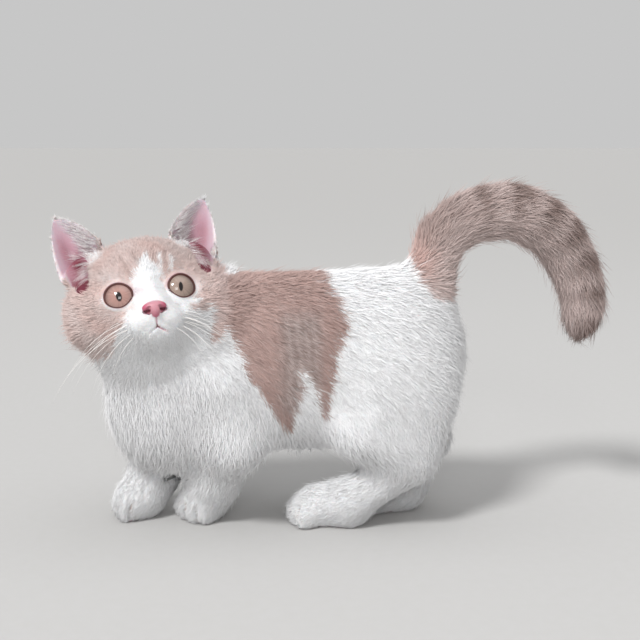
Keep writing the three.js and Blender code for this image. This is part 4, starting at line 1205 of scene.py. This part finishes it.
def growCoat(name, chosen, slot):
    count, spread, uv = rootsOn(triArea * dense[tris].mean(1) * chosen[tris].mean(1))
    normal = unit(spread(normals))
    rootDrawn = spread(points)
    way = spread(flow)
    way = unit(way - dotted(way, normal)[:, None] * normal)
    # Neighbours lean together in locks, and each tuft a little on its own.
    turn = loose["broad"] * ripple(rootDrawn, 13, 21) + loose["fine"] * ripple(rootDrawn, 4, 22)
    turn = np.radians(turn + rng.normal(0, loose["own"], count))
    way = way * np.cos(turn)[:, None] + np.cross(normal, way) * np.sin(turn)[:, None]
    longer = 1 + loose["length"] * rng.normal(size=count).clip(-2, 2)
    long = spread(length) * (longer + loose["lengthWave"] * ripple(rootDrawn, 7, 23))
    rise = np.radians(spread(lift) * (1 + loose["lift"] * rng.normal(size=count).clip(-1.5, 2.5)))
    for seed, (size, strength) in enumerate(zip(locks["sizes"], locks["rise"])):
        rise = rise * (1 + strength * ripple(rootDrawn, size, 31 + seed))
    strays = rng.uniform(size=count) < stray["share"]
    long = np.where(strays, stray["longer"] * long, long)
    rise = np.where(strays, stray["steeper"] * rise, rise)
    bent = rise * rng.uniform(0.25, 0.6, count)
    wide = spread(width) * rng.uniform(0.75, 1.2, count)
    lilac, dark, rosy = markings(rootDrawn, spread(local))
    # Each tuft is nearly all white or all lilac.
    lilac = (lilac - 0.5) * 2.4 + 0.5 + rng.normal(0, tuft["patchy"], count)
    dark = dark + rng.normal(0, loose["dark"], count)
    rosy = rosy + rng.normal(0, loose["rosy"], count)
    long = np.maximum(long, 0.6) * mm
    own = (np.clip([lilac, dark, rosy], 0, 1), spread(skinShare), spread(tone))
    return growTufts(name, slot, spread(co), normal, way, long, wide * mm, rise, bent, uv, *own)


leftSide = points[:, 0] > 0
leftFace = local[:, 0] > 0
front = points[:, 1] <= -8
rear = points[:, 1] > 36
tailPart = area["tail"] * (1 - area["head"])
legPart = area["lowerLeg"] * (1 - area["head"]) * (1 - tailPart)
bodyPart = (1 - area["head"]) * (1 - tailPart) * (1 - legPart)
facePart = area["face"] * (1 - area["ear"])
capPart = (area["head"] - area["face"]).clip(0) * (1 - area["ear"])
foreleg = points[:, 1] < 0
total = growCoat("coat_ears", area["ear"], "ear")
total += growCoat("coat_tail", tailPart * (points[:, 2] > 0), "lilac_fur")
# The pieces on each side: the share of the skin they grow on, which places are on the left, and the slot.
coatPieces = {
    "face": (facePart, leftFace, "white_fur"),
    "cap": (capPart, leftFace, "lilac_fur"),
    "chest": (bodyPart * front, leftSide, "white_fur"),
    "flank": (bodyPart * ~front * ~rear, leftSide, "lilac_fur"),
    "rump": (bodyPart * rear, leftSide, "white_fur"),
    "foreleg": (legPart * foreleg, leftSide, "white_fur"),
    "hindleg": (legPart * ~foreleg, leftSide, "white_fur"),
}
for side in ("left", "right"):
    for part, (share, onLeft, slot) in coatPieces.items():
        total += growCoat(f"coat_{part}_{side}", share * (onLeft if side == "left" else ~onLeft), slot)

# Long fine hairs inside each ear: rooted by its inner edge, they sweep out over the hollow and up.
# The angles are those at three heights up the ear.
earHair = {
    "each": 620, "long": (6, 11), "wide": (0.13, 0.2), "angles": (8, 28, 64), "heights": (-0.4, -0.1, 0.2),
    "forward": 0.3,
}


def growEarHair():
    for side, ear in earPlace.items():
        across, up, e = earSpot(local, side)
        innerEdge = (across > -1.05) * (across < -0.4) * (up > 0.02) * (up < 0.85)
        inner = area["earInner"] * area["ear_" + side] * innerEdge
        hollow = hollowShare(local) * (local[:, 0] * ear["outward"] > 20)
        edge = (hollow > 0.02) & (hollow < 0.3) & (np.abs(local[:, 0]) < 29) & (local[:, 2] > 14)
        weight = triArea * np.maximum(inner, 0.5 * edge)[tris].mean(1)
        count, spread, uv = rootsOn(weight * earHair["each"] / weight.sum())
        high = spread(up)
        angle = np.radians(np.interp(high, earHair["heights"], earHair["angles"]))
        angle = angle + rng.normal(0, 0.14, count)
        ahead = rng.uniform(0.4, 1.6, count) * earHair["forward"]
        way = np.stack([ear["outward"] * np.cos(angle), -ahead, np.sin(angle)], 1)
        way = way @ (headTurn @ earTurn(side)).T
        normal = unit(np.cross(np.cross(way, spread(normals)), way))
        long = rng.uniform(*earHair["long"], count) * (1 - 0.4 * high) * mm
        wide = rng.uniform(*earHair["wide"], count) * mm
        rise = rng.uniform(0, 0.25, count)
        bent = rise - rng.uniform(0.1, 0.35, count)
        marks = (rng.uniform(0, 0.6, count), rng.uniform(0, 0.5, count), np.full(count, 0.2))
        own = (uv, marks, np.zeros(count), np.ones(count))
        name = "hair_ear_" + side
        yield growTufts(name, "white_fur", spread(co), normal, unit(way), long, wide, rise, bent, *own)


total += sum(growEarHair())
print("coat:", total, "triangles")

# Whiskers: stiff white bristles, thickest at the root, each from its root to its tip in the head's frame.
whisker = {
    "thick": 0.17, "thin": 0.03, "cuts": 9, "sag": 0.10, "leftWide": 0.8, "leftAhead": 14,
    "white": "#FBFAF8", "cream": "#ECE7E2",
}
# Those on the right. Those on the left mirror them, are less wide and point further ahead.
whiskerEnds = [
    ((-6.5, -33.5, -13.5), (-51, -7, -38)), ((-7.2, -33, -15.5), (-44, -6, -39)),
    ((-8.5, -32, -17.5), (-35, -7, -41)), ((-8.8, -32, -14), (-44, -8, -34)),
    ((-9.6, -31, -16), (-54, -5, -41)), ((-9, -31.5, -12.5), (-42, -9, -27)),
    ((-10.5, -30.5, -18.5), (-28, -15, -32)), ((-11.5, -29.5, -14.5), (-33, -16.5, -25)),
    ((-11.5, -29.5, -12), (-28, -18, -17)), ((-6.5, -32.5, -18.5), (-24, -16, -36)),
]
bristle, tree, shader = startMaterial("whisker bristle, grown", {"Roughness": 0.35})
place = addNode(tree, "ShaderNodeTexCoord")
# Faint bands a few millimetres long, where the bristle thins.
streak = addNode(tree, "ShaderNodeTexNoise", {"Scale": 300.0}, {"Vector": place.outputs["Object"]})
banded = addNode(
    tree, "ShaderNodeMix", {**mixing, 6: srgb(whisker["white"]), 7: srgb(whisker["cream"])},
    {0: streak.outputs[0]},
)
tree.links.new(banded.outputs[2], shader.inputs["Base Color"])


def makeWhiskers():
    whole = bmesh.new()
    for sign in (-1, 1):
        for root, tip in whiskerEnds:
            root = np.array(root, float) * (-sign, 1, 1)
            tip = np.array(tip, float) * (-sign, 1, 1)
            if sign > 0:
                tip = tip * (whisker["leftWide"], 1, 1) - (0, whisker["leftAhead"], 0)
            start, end = fromHead(np.array([root, tip]))
            long = np.linalg.norm(end - start)
            way = (end - start) / long
            side = unit(np.cross(way, (0.0, 0.0, 1.0)))
            upward = np.cross(side, way)
            bm = bmesh.new()
            thick, thin = whisker["thick"] * mm, whisker["thin"] * mm
            bmesh.ops.create_cone(bm, cap_ends=True, segments=3, radius1=thick, radius2=thin, depth=1.0)
            lengthwise = [edge for edge in bm.edges if abs(edge.verts[0].co.z - edge.verts[1].co.z) > 0.5]
            bmesh.ops.subdivide_edges(bm, edges=lengthwise, cuts=whisker["cuts"])
            for v in bm.verts:
                t = v.co.z + 0.5
                arch = whisker["sag"] * long * 4 * t * (1 - t)
                v.co = Vector(start + way * long * t + side * v.co.x + upward * (v.co.y + arch))
            bmesh.ops.recalc_face_normals(bm, faces=bm.faces)
            mesh = builtMesh(bm, "bristle")
            whole.from_mesh(mesh)
            bpy.data.meshes.remove(mesh)
    mesh = builtMesh(whole, "whiskers")
    smoothFaces(mesh)
    mesh.materials.append(bristle)
    addPiece(mesh, "whiskers", "white_fur")
    print("whiskers set:", 2 * len(whiskerEnds))


makeWhiskers()

# The stage: a sheet of matt paper as the floor, which runs out into a world of the same tone.
# Seen from the photo's side, the floor's far edge meets the world without a line.
stage = {"floor": 200.0, "paper": "#BDBCBB", "fibre": "#B9B8B6", "world": "#F6F6F6", "strength": 0.62}
paper, tree, shader = startMaterial("matt paper, pressed", {"Roughness": 0.8})
place = addNode(tree, "ShaderNodeTexCoord")
# Fibre mottling a few millimetres wide.
fibre = addNode(
    tree, "ShaderNodeTexNoise", {"Scale": 180.0, "Detail": 4.0}, {"Vector": place.outputs["Object"]}
)
mottled = addNode(
    tree, "ShaderNodeMix", {**mixing, 6: srgb(stage["paper"]), 7: srgb(stage["fibre"])}, {0: fibre.outputs[0]}
)
tree.links.new(mottled.outputs[2], shader.inputs["Base Color"])
bm = bmesh.new()
bmesh.ops.create_grid(bm, x_segments=1, y_segments=1, size=stage["floor"] / 2)
mesh = builtMesh(bm, "floor")
mesh.materials.append(paper)
floor = bpy.data.objects.new("floor", mesh)
bpy.context.scene.collection.objects.link(floor)

world = bpy.data.worlds.new("studio")
world.use_nodes = True
bpy.context.scene.world = world
world.node_tree.nodes["Background"].inputs[0].default_value = srgb(stage["world"])
world.node_tree.nodes["Background"].inputs[1].default_value = stage["strength"]
bpy.context.scene.view_settings.view_transform = "Standard"

# The camera's drawn place, and its focal length in pixels of the photo's width.
camera = {"at": (562.15, 0.66, 193.51), "azimuth": 88, "drop": 9, "focal": 1100, "width": 640, "near": 0.01}
cameraData = bpy.data.cameras.new("camera")
cameraData.lens = camera["focal"] / camera["width"] * cameraData.sensor_width
cameraData.clip_start = camera["near"]
cameraObject = bpy.data.objects.new("camera", cameraData)
bpy.context.scene.collection.objects.link(cameraObject)
cameraObject.location = Vector((np.array(camera["at"]) + shift) * mm)
azimuth, drop = math.radians(camera["azimuth"]), math.radians(camera["drop"])
looking = Vector((-math.sin(azimuth) * math.cos(drop), math.cos(azimuth) * math.cos(drop), -math.sin(drop)))
cameraObject.rotation_euler = looking.to_track_quat("-Z", "Y").to_euler()
bpy.context.scene.camera = cameraObject

# Each lamp: its kind, its turn from +X towards +Y and its height as seen from the kitten, its distance
# and size in metres, its power and its colour. The key is a far, broad one, whose size is an angle.
lights = {
    "key": ("SUN", -38, 48, 2, 14, 2.45, "#FFFFFF"),
    "second": ("AREA", -4, 24, 1.5, 0.4, 4.2, "#FFFFFF"),
    "top": ("AREA", 90, 80, 1.3, 1.0, 2.6, "#F6F9FF"),
}
target = Vector((0, 0, 0.08))
for name, (kind, turn, height, distance, size, power, colour) in lights.items():
    data = bpy.data.lights.new(name, kind)
    if kind == "SUN":
        data.angle = math.radians(size)
    else:
        data.size = size
    data.energy = power
    data.color = srgb(colour)[:3]
    lamp = bpy.data.objects.new(name, data)
    bpy.context.scene.collection.objects.link(lamp)
    turn, height = math.radians(turn), math.radians(height)
    away = Vector((math.cos(turn) * math.cos(height), math.sin(turn) * math.cos(height), math.sin(height)))
    lamp.location = target + away * distance
    lamp.rotation_euler = (-away).to_track_quat("-Z", "Y").to_euler()
print("stage set")
